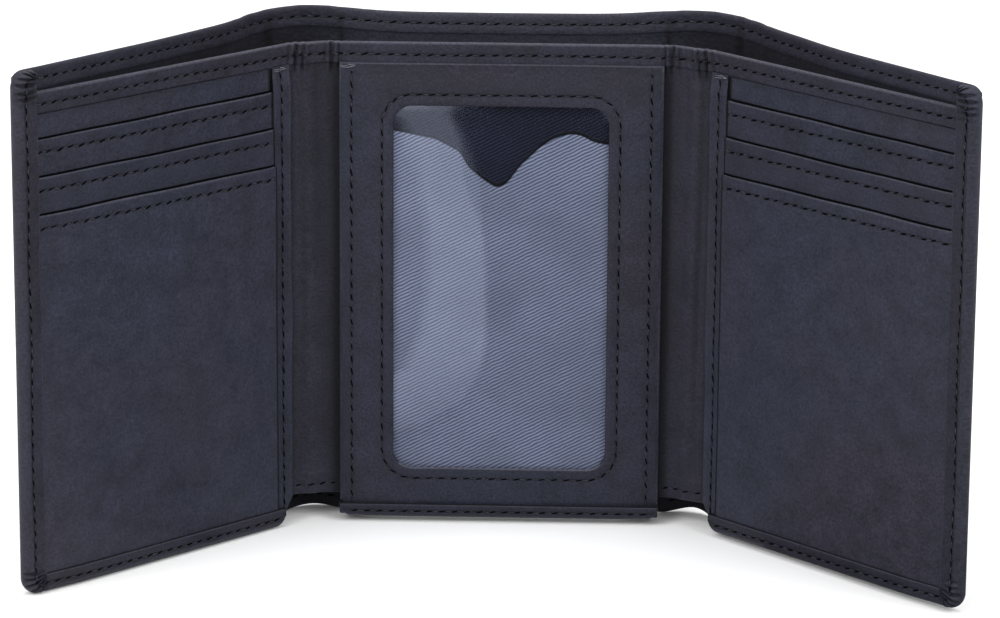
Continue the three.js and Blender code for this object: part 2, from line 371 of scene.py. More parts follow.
# Plain weave: the higher of a warp sine and a weft sine
def clothLook(name, light, dark, threadMm):
    t = Tree(name)
    place = t.attribute("hidePlace", "Vector")
    parts = t.add("ShaderNodeSeparateXYZ", vector=place)
    k = 2 * math.pi / threadMm
    warp = t.remap(t.maths("SINE", t.maths("MULTIPLY", parts.outputs[0], k)), -1.0, 1.0)
    weft = t.remap(t.maths("SINE", t.maths("MULTIPLY", parts.outputs[1], k)), -1.0, 1.0)
    weave = t.maths("MAXIMUM", warp, weft)
    tint = t.maths("MULTIPLY", weave, t.remap(t.noise(place, 0.3, 4.0), 0.3, 0.7, 0.5, 1.0))
    colour = t.mix(tint, dark, light)
    normal = t.bumped(weave, 0.4, 0.00008)
    shader = t.add("ShaderNodeBsdfPrincipled", baseColour=colour, roughness=0.9, normal=normal,
                   specular=0.2)
    return t.finish(shader.outputs[0])


vinylFinish = {"steadyShare": 0.073, "slantShare": 0.6, "slantPower": 4.0}


# Clear sheet: see-through, with a share mirrored that grows towards a slant
def vinylLook(name):
    t = Tree(name)
    place = t.attribute("hidePlace", "Vector")
    normal = t.bumped(t.noise(place, 0.035, 2.0, 0.4), 0.12, 0.0012)
    clear = t.add("ShaderNodeBsdfTransparent", color=(0.93, 0.95, 0.98, 1))
    gloss = t.add("ShaderNodeBsdfGlossy", color=(0.74, 0.80, 1.0, 1), roughness=0.04, normal=normal)
    # share mirrored: a steady part, and more at a slant, the same from inside the sheet as outside
    slant = t.add("ShaderNodeLayerWeight", normal=normal).outputs["Facing"]
    grown = t.maths("POWER", slant, vinylFinish["slantPower"])
    share = t.maths("MULTIPLY", grown, vinylFinish["slantShare"])
    share = t.maths("ADD", share, vinylFinish["steadyShare"])
    mixed = t.add("ShaderNodeMixShader")
    t.links.new(share, mixed.inputs[0])
    t.links.new(clear.outputs[0], mixed.inputs[1])
    t.links.new(gloss.outputs[0], mixed.inputs[2])
    return t.finish(mixed.outputs[0])


# Twisted fibre: noise between two tints
def threadLook(name, light, dark, rough):
    t = Tree(name)
    place = t.attribute("hidePlace", "Vector")
    fibre = t.noise(place, 3.1, 3.0)
    colour = t.mix(t.remap(fibre, 0.35, 0.65), dark, light)
    normal = t.bumped(fibre, 0.4, 0.00008)
    shader = t.add("ShaderNodeBsdfPrincipled", baseColour=colour, roughness=rough, normal=normal,
                   specular=0.06)
    return t.finish(shader.outputs[0])


shellLook = leather("navyShellLeather", picked(33, 34, 45), picked(33, 31, 41))
facingLook = leather("navyFacingLeather", picked(36, 39, 51), picked(39, 38, 49))
gussetLook = leather("navyGussetLeather", picked(35, 36, 47), picked(35, 33, 43))
twillLook = twill("blueGreyTwill", picked(158, 161, 180), picked(74, 76, 88))
blackTwillLook = twill("blackTwill", picked(44, 44, 66), picked(1, 1, 3))
backClothLook = clothLook("blackLiningCloth", picked(24, 24, 36), picked(11, 11, 17), 0.5)
vinylPaneLook = vinylLook("clearVinyl")
threadFinish = threadLook("waxedThread", picked(66, 64, 72), picked(24, 23, 31), 0.55)
paleThreadFinish = threadLook("knottedThread", picked(120, 118, 126), picked(66, 64, 74), 0.5)
# near black of painted shade, for the needle holes, the pocket mouths and the gap by the binding strip
paintedShadeFinish = threadLook("paintedShadeBlack", picked(9, 9, 13), picked(2, 2, 4), 1.0)
print("finishes made")


stitchSize = {
    "pitch": 2.65,
    "holeLength": 1.55,
    "holeWidth": 0.42,
    "threadLength": 1.5,
    "threadWidth": 0.27,
    "slantDegrees": 14.0,
}


# Unit lozenge with round ends: rings of radius sin(t) at -cos(t), closed by one point at each end
def beadTemplate(rings=3, around=6):
    t = np.pi * np.arange(1, rings + 1) / (rings + 1)
    a = 2 * np.pi * np.arange(around) / around
    ring = np.stack([-np.cos(t)[:, None] + 0 * a, np.sin(t)[:, None] * np.cos(a),
                     np.sin(t)[:, None] * np.sin(a)], -1).reshape(-1, 3)
    points = np.concatenate([[[-1.0, 0, 0]], ring, [[1.0, 0, 0]]])
    quads = quadsOf(rings, around, False, True) + 1
    k = np.arange(around)
    last = 1 + (rings - 1) * around
    start = np.stack([0 * k, 1 + (k + 1) % around, 1 + k], -1)
    end = np.stack([0 * k + len(points) - 1, last + k, last + (k + 1) % around], -1)
    return points, quads, np.concatenate([start, end])


beadPoints, beadQuads, beadTriangles = beadTemplate()
if signedVolume(beadPoints, beadTriangles) + signedVolume(beadPoints, beadQuads) < 0:
    beadQuads, beadTriangles = beadQuads[:, ::-1], beadTriangles[:, ::-1]


# Evenly spaced places along a line of points, with the line's direction and the surface normal there
def alongRow(line, normals, pitch, offset=0.5):
    step = np.linalg.norm(np.diff(line, axis=0), axis=1)
    length = np.concatenate([[0], np.cumsum(step)])
    count = max(1, int(round(length[-1] / pitch)))
    at = (np.arange(count) + offset) * length[-1] / count
    at = at[at <= length[-1]]
    place = np.stack([np.interp(at, length, line[:, k]) for k in range(3)], -1)
    ahead = np.stack([np.interp(at + 0.3, length, line[:, k]) for k in range(3)], -1)
    behind = np.stack([np.interp(at - 0.3, length, line[:, k]) for k in range(3)], -1)
    tangent = ahead - behind
    tangent /= np.linalg.norm(tangent, axis=1)[:, None]
    normal = np.stack([np.interp(at, length, normals[:, k]) for k in range(3)], -1)
    normal -= np.sum(normal * tangent, 1)[:, None] * tangent
    normal /= np.linalg.norm(normal, axis=1)[:, None]
    return place, tangent, normal


# Beads turned to each place: along the row, slanted by some degrees in the surface, lifted off it
def beadsAt(place, tangent, normal, half, slant, lift, seed):
    rng = np.random.default_rng(seed)
    across = np.cross(normal, tangent)
    turn = np.radians(slant + rng.normal(0, 4, len(place)))[:, None]
    along = tangent * np.cos(turn) + across * np.sin(turn)
    side = np.cross(normal, along)
    size = 1 + rng.normal(0, 0.08, (len(place), 1))
    axes = np.stack([along * half[0] * size, side * half[1] * size, normal * half[2]], 1)
    points = np.einsum("pk,nkc->npc", beadPoints, axes)
    return points + (place + normal * lift)[:, None]


# One mesh of many beads. A block is an array of beads and the number of its finish.
def beadMesh(name, blocks, looks):
    points, quads, triangles = [], [], []
    base = 0
    for beads, mark in blocks:
        count, each = beads.shape[:2]
        shift = base + np.arange(count)[:, None, None] * each
        points.append(beads.reshape(-1, 3))
        quads.append(((beadQuads + shift).reshape(-1, 4), mark))
        triangles.append(((beadTriangles + shift).reshape(-1, 3), mark))
        base += count * each
    points = np.concatenate(points)
    faces, faceLooks = [], []
    for block, mark in quads + triangles:
        faces += block.tolist()
        faceLooks += [mark] * len(block)
    nothing = np.zeros(len(points))
    return makeObject(name, points, faces, points, nothing, nothing, looks, faceLooks, 80)


# Rows of stitching as one piece: needle holes as black beads of painted shade, with raised thread between
# them. A row may end with its own slant in degrees and the size of its holes.
def stitchPiece(name, rows):
    size = stitchSize
    blocks = []
    for number, row in enumerate(rows):
        line, normals = row[:2]
        slant, scale = row[2:] if len(row) > 2 else (size["slantDegrees"], 1.0)
        seed = sum(map(ord, name)) + number
        hole = alongRow(line, normals, size["pitch"], 0.5)
        thread = alongRow(line, normals, size["pitch"], 0.0)
        half = (size["holeLength"] * scale / 2, size["holeWidth"] * scale / 2, 0.10)
        blocks.append((beadsAt(*hole, half, slant, 0.0, seed), 1))
        half = (size["threadLength"] / 2, size["threadWidth"] / 2, 0.17)
        blocks.append((beadsAt(*thread, half, -slant * 0.6, 0.05, seed + 50), 0))
    return beadMesh(name, blocks, [threadFinish, paintedShadeFinish])


# A few pale threads laid side by side where a seam is locked, from one place to another
def threadTack(name, fromU, toU, depth, z, body):
    u = np.linspace(fromU, toU, 9)
    half = (1.05, 0.12, 0.13)
    blocks = []
    for k in range(2):
        line, normals = rowOf(u, depth + 0 * u, z + 0.34 * k + 0.10 * np.sin(u * 2 + k))
        blocks.append((beadsAt(*alongRow(line, normals, 1.7), half, 0, 0.06, 7 + k), 0))
    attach(beadMesh(name, blocks, [paleThreadFinish]), body)


# Hangs a piece on its body, and hides the nodes that it stands for
def settle(piece, body, slot, *nodes):
    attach(piece, body)
    if nodes:
        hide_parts(*nodes)


# A stitch row given in unfolded terms. facing is -1 where it is seen from the front, 1 from behind.
def rowOf(u, depth, z, facing=-1, soften=0.02):
    line = toWorld(u, depth, z, soften)
    beyond = toWorld(u, np.asarray(depth) + facing, z, soften)
    return line, beyond - line


wingWrap = {
    "front": 2.7,
    "sideWidth": 4.9,
    "footHeight": 3.9,
    "sideStitch": 2.2,
    "footStitch": 2.1,
    "start": 5.0,
    "startRadius": 1.7,
    "station": 0.62,
    "pleats": 11,
    "pleatDepth": 1.15,
}
centreWrap = {
    "front": 2.9,
    "height": 3.9,
    "stitch": 2.5,
    "half": 33.6,
    "radius": 1.9,
    "station": 0.62,
    "lift": 0.8,
}

shellShape = {
    "pathSoften": 9.0,
    "station": 0.7,
    "hemStitch": 2.3,
    "spineHemStitch": 2.5,
    "wrapInset": 1.2,
    "creaseDepth": 0.13,
}


# Distance behind the inner leather: a foot line and a mouth line across the wallet, and between
# them the height's share of the full height to the power 0.6
def shellDepth(u, z):
    a = np.abs(u)
    foot = softLine(a, [0, 26.5, 36, 41, 48.5, 100, pathEnd], [1.2, 1.2, 8.6, 8.6, 0.9, 0.9, 0.55], 4.5)
    fullness = np.where(u > 0, 1.7, 0.4) * bump(a, outerFold + 13, 13)
    mouth = softLine(a, [0, 20, 33.9, 38.5, 43.1, 55, 80, pathEnd, pathEnd + 20],
                     [7.6, 7.8, 9.4, 10.4, 9.4, 6.4, 3.6, 0.55, 0.55], 8) + fullness
    climb = (np.clip(z, 0.01, shellTop) / shellTop) ** 0.6
    return foot + (mouth - foot) * climb


# Wavy creases that stand near the folds and fade away from them
def shellCrease(u, z):
    a = np.abs(u)
    near = bump(a, outerFold + 2, 7) + 0.8 * bump(a, plan["innerFold"], 5)
    wave = np.sin(a * 1.45 + 0.5 * np.sin(z / 13)) + 0.6 * np.sin(a * 2.6 + z / 31 + 1.3)
    return shellShape["creaseDepth"] * near * wave * smooth(z, 2, 30)


# Slow waves of the outer leather, gone where it is sewn into a free edge
def shellWave(u, z):
    calm = 1 - smooth(np.abs(u), pathEnd - 9, pathEnd - 5)
    return 0.22 * unevenness(u, z, 61, 0.8) * calm


# Top edge of the outer leather: it rides up a little over both folds
def shellRise(u):
    return 0.9 * bump(np.abs(u), 40, 9)


# How far a free corner, a quarter circle, falls below its straight edge
def cornerDrop(s):
    r = plan["cornerRadius"] + 0.3
    over = np.clip(s - (plan["wingLength"] - r), 0, r)
    return r - np.sqrt(r * r - over * over)


# Bottom edge of the outer leather: higher under the folds, and along the lifted wing and centre
def footRise(u):
    a = np.abs(u)
    under = np.where(u > 0, 1.3, 0.5) * bump(a, 38.6, 3.2)
    lift = np.where(u > 0, plan["lift"]["right"], plan["lift"]["left"])
    return under + lift * smooth(a, 44, 47) + centreWrap["lift"] * (1 - smooth(a, 31, 34))


# Section list: (share of height, height beyond that share, depth off the sheet, part of the hem)
def shellSection():
    rows = [(0, 0.35, 0.8, 0)]
    rows += [(f, 0, 0.8, 0) for f in np.linspace(0.03, 0.95, 26)]
    rows += [(1, -h, 0.8, 0) for h in (3.6, 2.9, 2.6, 2.3, 2.0, 1.7, 1.0)]
    for angle in np.radians(np.linspace(10, 170, 7)):
        rows.append((1, -0.6 + 0.6 * math.sin(angle), 0.30 + 0.5 * math.cos(angle), 0))
    rows += [(1, -h, -0.2, 0) for h in (1.0, 1.7, 2.0, 2.3, 2.6, 2.9, 3.6, 4.15)]
    rows += [(1, -4.3, -0.18, 0), (1, -4.42, -0.08, 0), (1, -4.7, 0.0, 0)]
    rows += [(f, 0, 0.0, 0) for f in np.linspace(0.94, 0.07, 20)]
    rows += [(0, 5.0, 0.0, 0), (0, 4.86, -0.1, 1), (0, 4.8, -0.6, 1), (0, 4.6, -0.7, 1)]
    rows += [(0, h, -0.7, 1) for h in (3.4, 2.8, 2.5, 2.2, 1.6, 0.8)]
    rows += [(0, 0.2, -0.5, 1), (0, 0.0, -0.1, 1), (0, 0.0, 0.4, 0), (0, 0.08, 0.7, 0)]
    return np.array(rows)


# Outer leather: the section at each u, lifted from foot to top by its share of the height
def buildShell(name, u0, u1):
    section = shellSection()
    count = int(abs(u1 - u0) / shellShape["station"]) + 2
    u = np.linspace(u0, u1, count)[:, None]
    a = np.abs(u)
    s = a - outerFold + np.where(u < 0, plan["trim"]["left"], plan["trim"]["right"])
    inSpine = smooth(a, 31.4, 32.8) * (1 - smooth(a, 46.4, 48.2))
    foot = shellShape["wrapInset"] * (1 - inSpine) + cornerDrop(s) + footRise(u)
    top = shellTop - cornerDrop(s) + shellRise(u)
    share, extra, off, hemPart = section.T
    z = foot + share * (top - foot) + extra
    hem = np.where(hemPart > 0, inSpine, 1.0)
    # stitch grooves on the hem and on the back of it
    groove = 0.14 * bump(z, top - shellShape["hemStitch"], 0.42) * (share > 0.98)
    lowGroove = 0.12 * bump(z - foot, shellShape["spineHemStitch"], 0.42) * inSpine * (share < 0.01)
    sign = np.where(off > 0.3, -1, 1)
    depth = shellDepth(u, z) + off * hem + sign * (groove + lowGroove) + shellCrease(u, z)
    depth = depth + shellWave(u, z) * smooth(z, 6, 25)
    inside = off < 0.75
    # painted shade in the stitch grooves, on the inside face below the hem, and in the folds there
    dark = 0.25 * (groove + lowGroove) / 0.14
    below = 1 - smooth(z, top - 5.4, top - 3.4)
    dark = dark + inside * below * (0.15 + 0.50 * smooth(a, 24, 46))
    fold = bump(a, 33.0 + 0.3 * np.sin(z / 2.7), 0.45) + bump(a, 44.2 + 0.3 * np.sin(z / 3.1), 0.55)
    dark = dark + inside * 0.6 * fold * smooth(z, 80, 98) * (1 - smooth(z, top - 1.6, top - 0.8))
    # a little rubbed lightening along the top edge, and painted fill light that lightens the shaded
    # inside face near the middle
    wearAndPaintedLight = 0.12 * smooth(z, top - 0.9, top - 0.1) + 0.20 * inside * (1 - smooth(a, 26, 40))
    soften = shellShape["pathSoften"]
    piece = sweep(name, u, depth, z, shellLook, soften=soften, dark=np.clip(dark, 0, 1),
                  wearAndPaintedLight=np.clip(wearAndPaintedLight, 0, 1))
    rows = []
    line = np.linspace(u0, u1, 220)
    line = line[np.abs(line) < pathEnd - 3.4]
    for off, facing in ((-0.10, -1), (0.72, 1)):
        zRow = shellTop - shellShape["hemStitch"] + shellRise(line)
        zRow = zRow - cornerDrop(np.abs(line) - outerFold)
        depthRow = shellDepth(line, zRow) + off + shellCrease(line, zRow) + shellWave(line, zRow)
        rows.append(rowOf(line, depthRow, zRow, facing, soften))
    spine = line[(np.abs(line) > 34.0) & (np.abs(line) < 45.5)]
    if len(spine) > 3:
        zRow = shellShape["spineHemStitch"] + footRise(spine)
        for off, facing in ((-0.66, -1), (0.76, 1)):
            depthRow = shellDepth(spine, zRow) + off + shellCrease(spine, zRow)
            rows.append(rowOf(spine, depthRow, zRow, facing, soften))
    return piece, stitchPiece(name + "_stitches", rows)


# World point in metres at (u, depth) for the ends of a bend
def bendPoint(u, depth=0.0):
    return tuple((toWorld(np.array(u), np.array(depth), np.array(50.0)) * 0.001).tolist())


# Works out the two bend points between wing and spine without using them, and bakes the piece's transform
def bendWing(piece, word, inWing):
    sign = sides[word]
    bendPoint(sign * (outerFold + inWing))
    bendPoint(sign * midSpine)
    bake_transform(piece)


# Works out the two bend points between spine and centre panel without using them, and bakes the piece's
# transform
def bendInner(piece, word, inCentre):
    sign = sides[word]
    bendPoint(sign * midSpine)
    bendPoint(sign * inCentre)
    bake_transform(piece)


for word, sign in sides.items():
    made = buildShell(f"shell_leather_{word}_wing", sign * (pathEnd - 1.2 - plan["trim"][word]),
                      sign * midSpine)
    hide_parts(f"shell_{word}_wing", f"shell_top_hem_{word}_wing")
    for piece in made:
        bendWing(piece, word, 4.6)
    made = buildShell(f"shell_leather_{word}_inner", sign * midSpine, 0.0)
    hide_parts(f"shell_{word}_spine", f"shell_top_hem_{word}_spine",
                f"shell_bottom_hem_{word}_spine", "shell_centre", "shell_top_hem_centre")
    for piece in made:
        bendInner(piece, word, 31.0)
print("outer leather done")


# Section round an edge. e runs from the edge inwards, reach is how far the front flange goes.
# The front is flat to a stitch groove, the edge is two quarter ellipses, the back lip dies into
# the sheet, and the inner face follows 0.4 mm inside.
def wrapSection(reach, stitch, front, backAt):
    ones = np.ones(len(reach))
    rear = backAt(0)
    middle = 0.5 * (rear - front) - 0.1
    e, depth, kind = [], [], []

    def put(along, y, mark=0):
        e.append(along * ones)
        depth.append(y * ones)
        kind.append(mark)
    put(reach + 0.26, -front + 0.40, 0)
    put(reach + 0.05, -front + 0.36, 0)
    put(reach, -front + 0.16, 1)
    put(reach - 0.07, -front + 0.04, 1)
    put(reach - 0.26, -front + 0.02, 2)
    put(reach - 0.5 * (reach - stitch - 0.6), -front - 0.02, 2)
    for d in (0.6, 0.38, 0.18, 0.0, -0.18, -0.38, -0.6):
        put(stitch + d, -front + 0.16 * math.exp(-(d / 0.34) ** 2), 3)
    put(0.5 * (stitch - 0.6 + 1.5), -front - 0.02, 2)
    for angle in np.radians(np.linspace(0, 90, 7)):
        put(1.5 - 1.5 * math.sin(angle), middle - (front + middle) * math.cos(angle), 4)
    for angle in np.radians(np.linspace(15, 75, 5)):
        put(1.5 - 1.5 * math.cos(angle), middle + (rear - middle) * math.sin(angle), 5)
    lip = ((1.5, 0.02, 6), (3.0, 0.02, 6), (4.2, -0.03, 6), (4.2, -0.12, 7), (1.6, -0.4, 7))
    for along, off, mark in lip:
        put(along, backAt(along) + off, mark)
    put(0.42, middle, 7)
    put(0.75, middle - 0.6 * (front + middle), 7)
    put(1.6, -front + 0.42, 7)
    return np.stack(e, 1), np.stack(depth, 1), np.array(kind)


# The stack is pressed thinner towards the sewn free edge of a wing
def pressed(s):
    return 1 - 0.26 * smooth(s, 58, 71)


# Edge of a wing as (s, z): up from the start, along the foot, round a corner, up, round the other
def wingPerimeter(word):
    w = wingWrap
    r0, r, step = w["startRadius"], plan["cornerRadius"], w["station"]
    length = plan["wingLength"] - plan["trim"][word]
    lift = plan["lift"][word]
    s = [w["start"] + np.array([0.25, 0.08, 0.0])]
    z = [lift + np.array([3.1, 2.7, 2.2])]
    turn = np.radians(np.linspace(180, 270, 7))
    s.append(w["start"] + r0 + r0 * np.cos(turn))
    z.append(lift + r0 + r0 * np.sin(turn))
    run = np.arange(w["start"] + r0 + step, length - r - 0.2, step)
    s.append(run)
    z.append(lift + 0 * run)
    turn = np.radians(np.linspace(270, 360, 60))
    s.append(length - r + r * np.cos(turn))
    z.append(lift + r + r * np.sin(turn))
    rise = np.arange(lift + r + step, shellTop - r - 0.2, step)
    s.append(length + 0 * rise)
    z.append(rise)
    turn = np.radians(np.linspace(0, 90, 60))
    s.append(length - r + r * np.cos(turn))
    z.append(shellTop - r + r * np.sin(turn))
    last = np.linspace(length - r, length - w["sideWidth"] - 0.1, 6)[1:]
    s.append(last)
    z.append(0 * last + shellTop)
    return np.concatenate(s), np.concatenate(z)


# Turned edge of a wing: the wrap section carried along its perimeter, pleated at the corners
def buildWingWrap(word):
    sign = sides[word]
    w = wingWrap
    s, z = wingPerimeter(word)
    length, r = plan["wingLength"] - plan["trim"][word], plan["cornerRadius"]
    lift = plan["lift"][word]
    innerS = length - w["sideWidth"]
    onFoot = z < lift + r + 0.5
    targetS = np.where(onFoot, np.minimum(s, innerS), innerS)
    targetZ = np.where(z <= lift + w["footHeight"], lift + w["footHeight"], z)
    targetZ = np.minimum(targetZ, shellTop - 1.6)
    targetS = np.where((z > 50), innerS, targetS)
    toS, toZ = targetS - s, targetZ - z
    reach = np.maximum(np.hypot(toS, toZ), 0.9)
    dirS, dirZ = toS / reach, toZ / reach
    sideShare = smooth(s, innerS, length - 0.5)
    stitch = w["footStitch"] + (w["sideStitch"] - w["footStitch"]) * np.where(z > 7, 1.0, sideShare)
    stitch = np.maximum(np.minimum(stitch, reach - 0.85), 0.3 * reach)

    def backAt(e):
        at = outerFold + s + dirS * e
        return shellDepth(at, z + dirZ * e) + plan["shellThick"]
    front = w["front"] * pressed(s)
    e, depth, kind = wrapSection(reach, stitch, front, backAt)
    sAll = s[:, None] + dirS[:, None] * e
    zAll = z[:, None] + dirZ[:, None] * e
    # radial pleats gathered round each corner, deepest halfway in
    angleLow = np.arctan2(innerS + 1.5 - s, lift + r + 1.0 - z)
    angleHigh = np.arctan2(s - innerS - 1.5, z - (shellTop - r - 1.0))
    low = (z < 9) & (s > innerS - 2)
    high = z > shellTop - 9
    angle = np.where(low, angleLow, angleHigh)
    lowShare = smooth(s, innerS - 0.5, innerS + 1.8) * (1 - smooth(z, lift + 4.5, lift + 7))
    window = np.where(low, lowShare, 0.0)
    window = np.where(high, smooth(z, shellTop - 7.5, shellTop - 4.5), window)
    share = np.clip(e / reach[:, None], 0, 1)
    kink = 0.9 * np.sin(angle * 3.3 + sign) + 0.5 * np.sin(angle * 7.1)
    lean = 1.3 * share * np.sin(angle * 4.0 + 1)[:, None]
    wave = np.sin((angle * w["pleats"] * 1.5 + kink)[:, None] + lean)
    valley = np.clip(-wave, 0, 1) ** 1.2
    across = np.sin(np.pi * share ** 0.8) ** 0.45
    faced = np.isin(kind, (1, 2, 3, 4))[None]
    pleat = window[:, None] * (0.42 * np.clip(wave, 0, 1) - 0.62 * valley) * w["pleatDepth"]
    depth = depth - pleat * across * faced
    wavy = 0.16 * np.sin(z / 6.3 + 0.6 * np.sin(z / 11.0)) * smooth(z, 6, 16)
    depth = depth - (wavy[:, None] * np.isin(kind, (1, 2, 3)))
    # painted shade in the pleat valleys, in the stitch groove and on the tucked inner edge
    dark = window[:, None] * valley ** 0.9 * 0.95 * across * faced
    dark = dark + 0.30 * (kind == 3)[None] * (1 - np.abs(e - stitch[:, None]) / 0.7).clip(0, 1)
    dark = dark + 0.9 * (kind == 0)[None]
    # rubbed folded edge and raw edge, with a painted highlight along the raw edge
    wearAndPaintedLight = 0.08 * np.isin(kind, (4,))[None] * (1 - dark)
    wearAndPaintedLight = wearAndPaintedLight + 0.30 * (kind == 1)[None]
    piece = sweep(f"turned_edge_{word}_wing", sign * (outerFold + sAll), depth, zAll, shellLook,
                  dark=np.clip(dark, 0, 1), wearAndPaintedLight=np.clip(wearAndPaintedLight, 0, 1), layer=4.0)
    # stitch row down the middle of the groove, seen in front, and its twin behind
    rows = []
    line = np.flatnonzero((reach > 2.2) & (s > w["start"] + 1.2) & (z < shellTop - 1.0))
    rowS = (s + dirS * stitch)[line]
    rowZ = (z + dirZ * stitch)[line]
    wavyRow = wavy[line] + (window * w["pleatDepth"] * 0.2)[line]
    rows.append(rowOf(sign * (outerFold + rowS), -front[line] + 0.1 - wavyRow, rowZ, -1))
    backDepth = shellDepth(outerFold + rowS, rowZ) + plan["shellThick"] + 0.03
    rows.append(rowOf(sign * (outerFold + rowS), backDepth, rowZ, 1))
    return piece, rows


# Turned foot of the centre panel: the wrap section carried along it, with rounded ends
def buildCentreWrap():
    w = centreWrap
    r, half, step = w["radius"], w["half"], w["station"]
    turn = np.radians(np.linspace(180, 270, 9))
    run = np.arange(-half + r + step, half - r - 0.2, step)
    endX = np.concatenate([[0.2, 0.04], r + r * np.cos(turn)])
    endZ = np.concatenate([[3.2, 2.7], w["lift"] + r + r * np.sin(turn)])
    x = np.concatenate([-half + endX, run, half - endX[::-1]])
    z = np.concatenate([endZ, w["lift"] + 0 * run, endZ[::-1]])
    reach = w["height"] - z
    stitch = np.clip(w["stitch"] - z, 0.3 * reach, reach - 0.3)

    def backAt(e):
        return shellDepth(x, z + e) + plan["shellThick"]
    e, depth, kind = wrapSection(reach, stitch, w["front"], backAt)
    # painted shade in the stitch groove and on the tucked inner edge, and rubbed edges with a painted
    # highlight on the raw edge
    dark = 0.30 * (kind == 3)[None] * (1 - np.abs(e - stitch[:, None]) / 0.7).clip(0, 1)
    dark = dark + 0.9 * (kind == 0)[None]
    wearAndPaintedLight = 0.08 * np.isin(kind, (4,))[None] + 0.30 * (kind == 1)[None] + 0 * e
    piece = sweep("turned_edge_centre", x[:, None] + 0 * e, depth, z[:, None] + e, shellLook,
                  dark=dark, wearAndPaintedLight=wearAndPaintedLight, layer=9.0)
    line = np.linspace(-half + 1.8, half - 1.8, 60)
    zRow = np.full(line.shape, w["stitch"])
    rows = [rowOf(line, 0 * line - w["front"] + 0.1, zRow, -1)]
    rows.append(rowOf(line, shellDepth(line, zRow) + plan["shellThick"] + 0.03, zRow, 1))
    return piece, rows


wingRows = {}
for word in sides:
    piece, wingRows[word] = buildWingWrap(word)
    settle(piece, word + "_wing", "turned_edge_leather", f"side_wrap_{word}_wing",
           f"bottom_wrap_{word}_wing")
piece, centreRows = buildCentreWrap()
settle(piece, "centre", "turned_edge_leather", "bottom_wrap_centre")
print("turned edges done")


liningShape = {
    "pathSoften": 4.0,
    "station": 0.40,
    "hemStitch": 2.6,
    "hemLine": 98.8,
    "spineFoot": 5.5,
    "spineStitch": 7.6,
    "innerFoot": 1.0,
    "end": 73.0,
}


# Waves of the puckers that gather the hem at the outer fold and at the inner one
def puckerWaves(a, z):
    return (np.sin(a * 3.7 + 0.9 * np.sin(z / 1.6)), np.sin(a * 4.3 + 1.0 + 0.5 * np.sin(z / 1.3)))


# Relief of the front face: the gusset bows back towards the centre panel, soft ridges run up it,
# puckers cross the hem at the folds, and the hem's own thickness shows as a step
def liningRelief(u, z):
    a = np.abs(u)
    gusset = smooth(a, 33.6, 35.2) * (1 - smooth(a, 42.0, 44.6))
    bow = gusset * (0.75 * bump(a, 36.0, 2.4) - 0.30 * bump(a, 40.2, 2.6))
    lean = a + 0.6 * np.sin(z / 23 + u * 0.02) + 0.2 * np.sin(z / 9.3 + 1)
    ridge = gusset * (0.09 * np.sin(lean * 1.5 + 0.6) + 0.13 * smooth(z, 55, 92) * bump(lean, 37.6, 0.8))
    band = smooth(z, 95.5, 98.5)
    outer, inner = puckerWaves(a, z)
    pucker = 0.50 * band * bump(a, outerFold - 0.6, 2.6) * outer
    pucker = pucker + 0.42 * band * bump(a, plan["innerFold"] + 0.8, 2.1) * inner
    step = -0.15 * smooth(z, liningShape["hemLine"] - 0.12, liningShape["hemLine"] + 0.12)
    row = 0.13 * bump(z, liningTop - liningShape["hemStitch"], 0.36)
    low = gusset * (0.12 * bump(z, liningShape["spineStitch"], 0.4)
                    - 0.14 * (1 - smooth(z, 10.1, 10.4)))
    return bow + ridge + pucker + step + row + low + 0.12 * unevenness(u, z, 37, 2.0)


# Painted shade on the inner leather: bells at the folds, gusset creases, puckers and the hem line
def liningPaintedShade(u, z):
    a = np.abs(u)
    lean = a + 0.5 * np.sin(z / 23 + u * 0.02)
    dark = 0.70 * bump(a, plan["innerFold"] + 0.2, 1.2) + 0.22 * bump(a, 36.2, 1.8)
    dark = dark + np.where(u > 0, 0.42, 0.20) * bump(lean, 41.6, 0.8) * smooth(z, 15, 50)
    dark = dark + np.where(u > 0, 0.10, 0.30) * bump(lean, 38.6, 1.5) * smooth(z, 40, 80)
    dark = dark + 0.35 * bump(a, outerFold + 1.0, 0.8)
    dark = dark * (z < 99.0)
    band = smooth(z, 95.5, 98.5)
    outer, inner = (np.clip(wave, 0, 1) ** 2 for wave in puckerWaves(a, z))
    dark = dark + 0.85 * band * bump(a, outerFold - 0.6, 2.3) * outer
    dark = dark + 0.70 * band * bump(a, plan["innerFold"] + 0.8, 1.9) * inner
    dark = dark + 0.40 * bump(z, liningShape["hemLine"] - 0.1, 0.16)
    dark = dark + 0.28 * bump(z, liningTop - liningShape["hemStitch"], 0.4)
    return np.clip(dark, 0, 0.9)


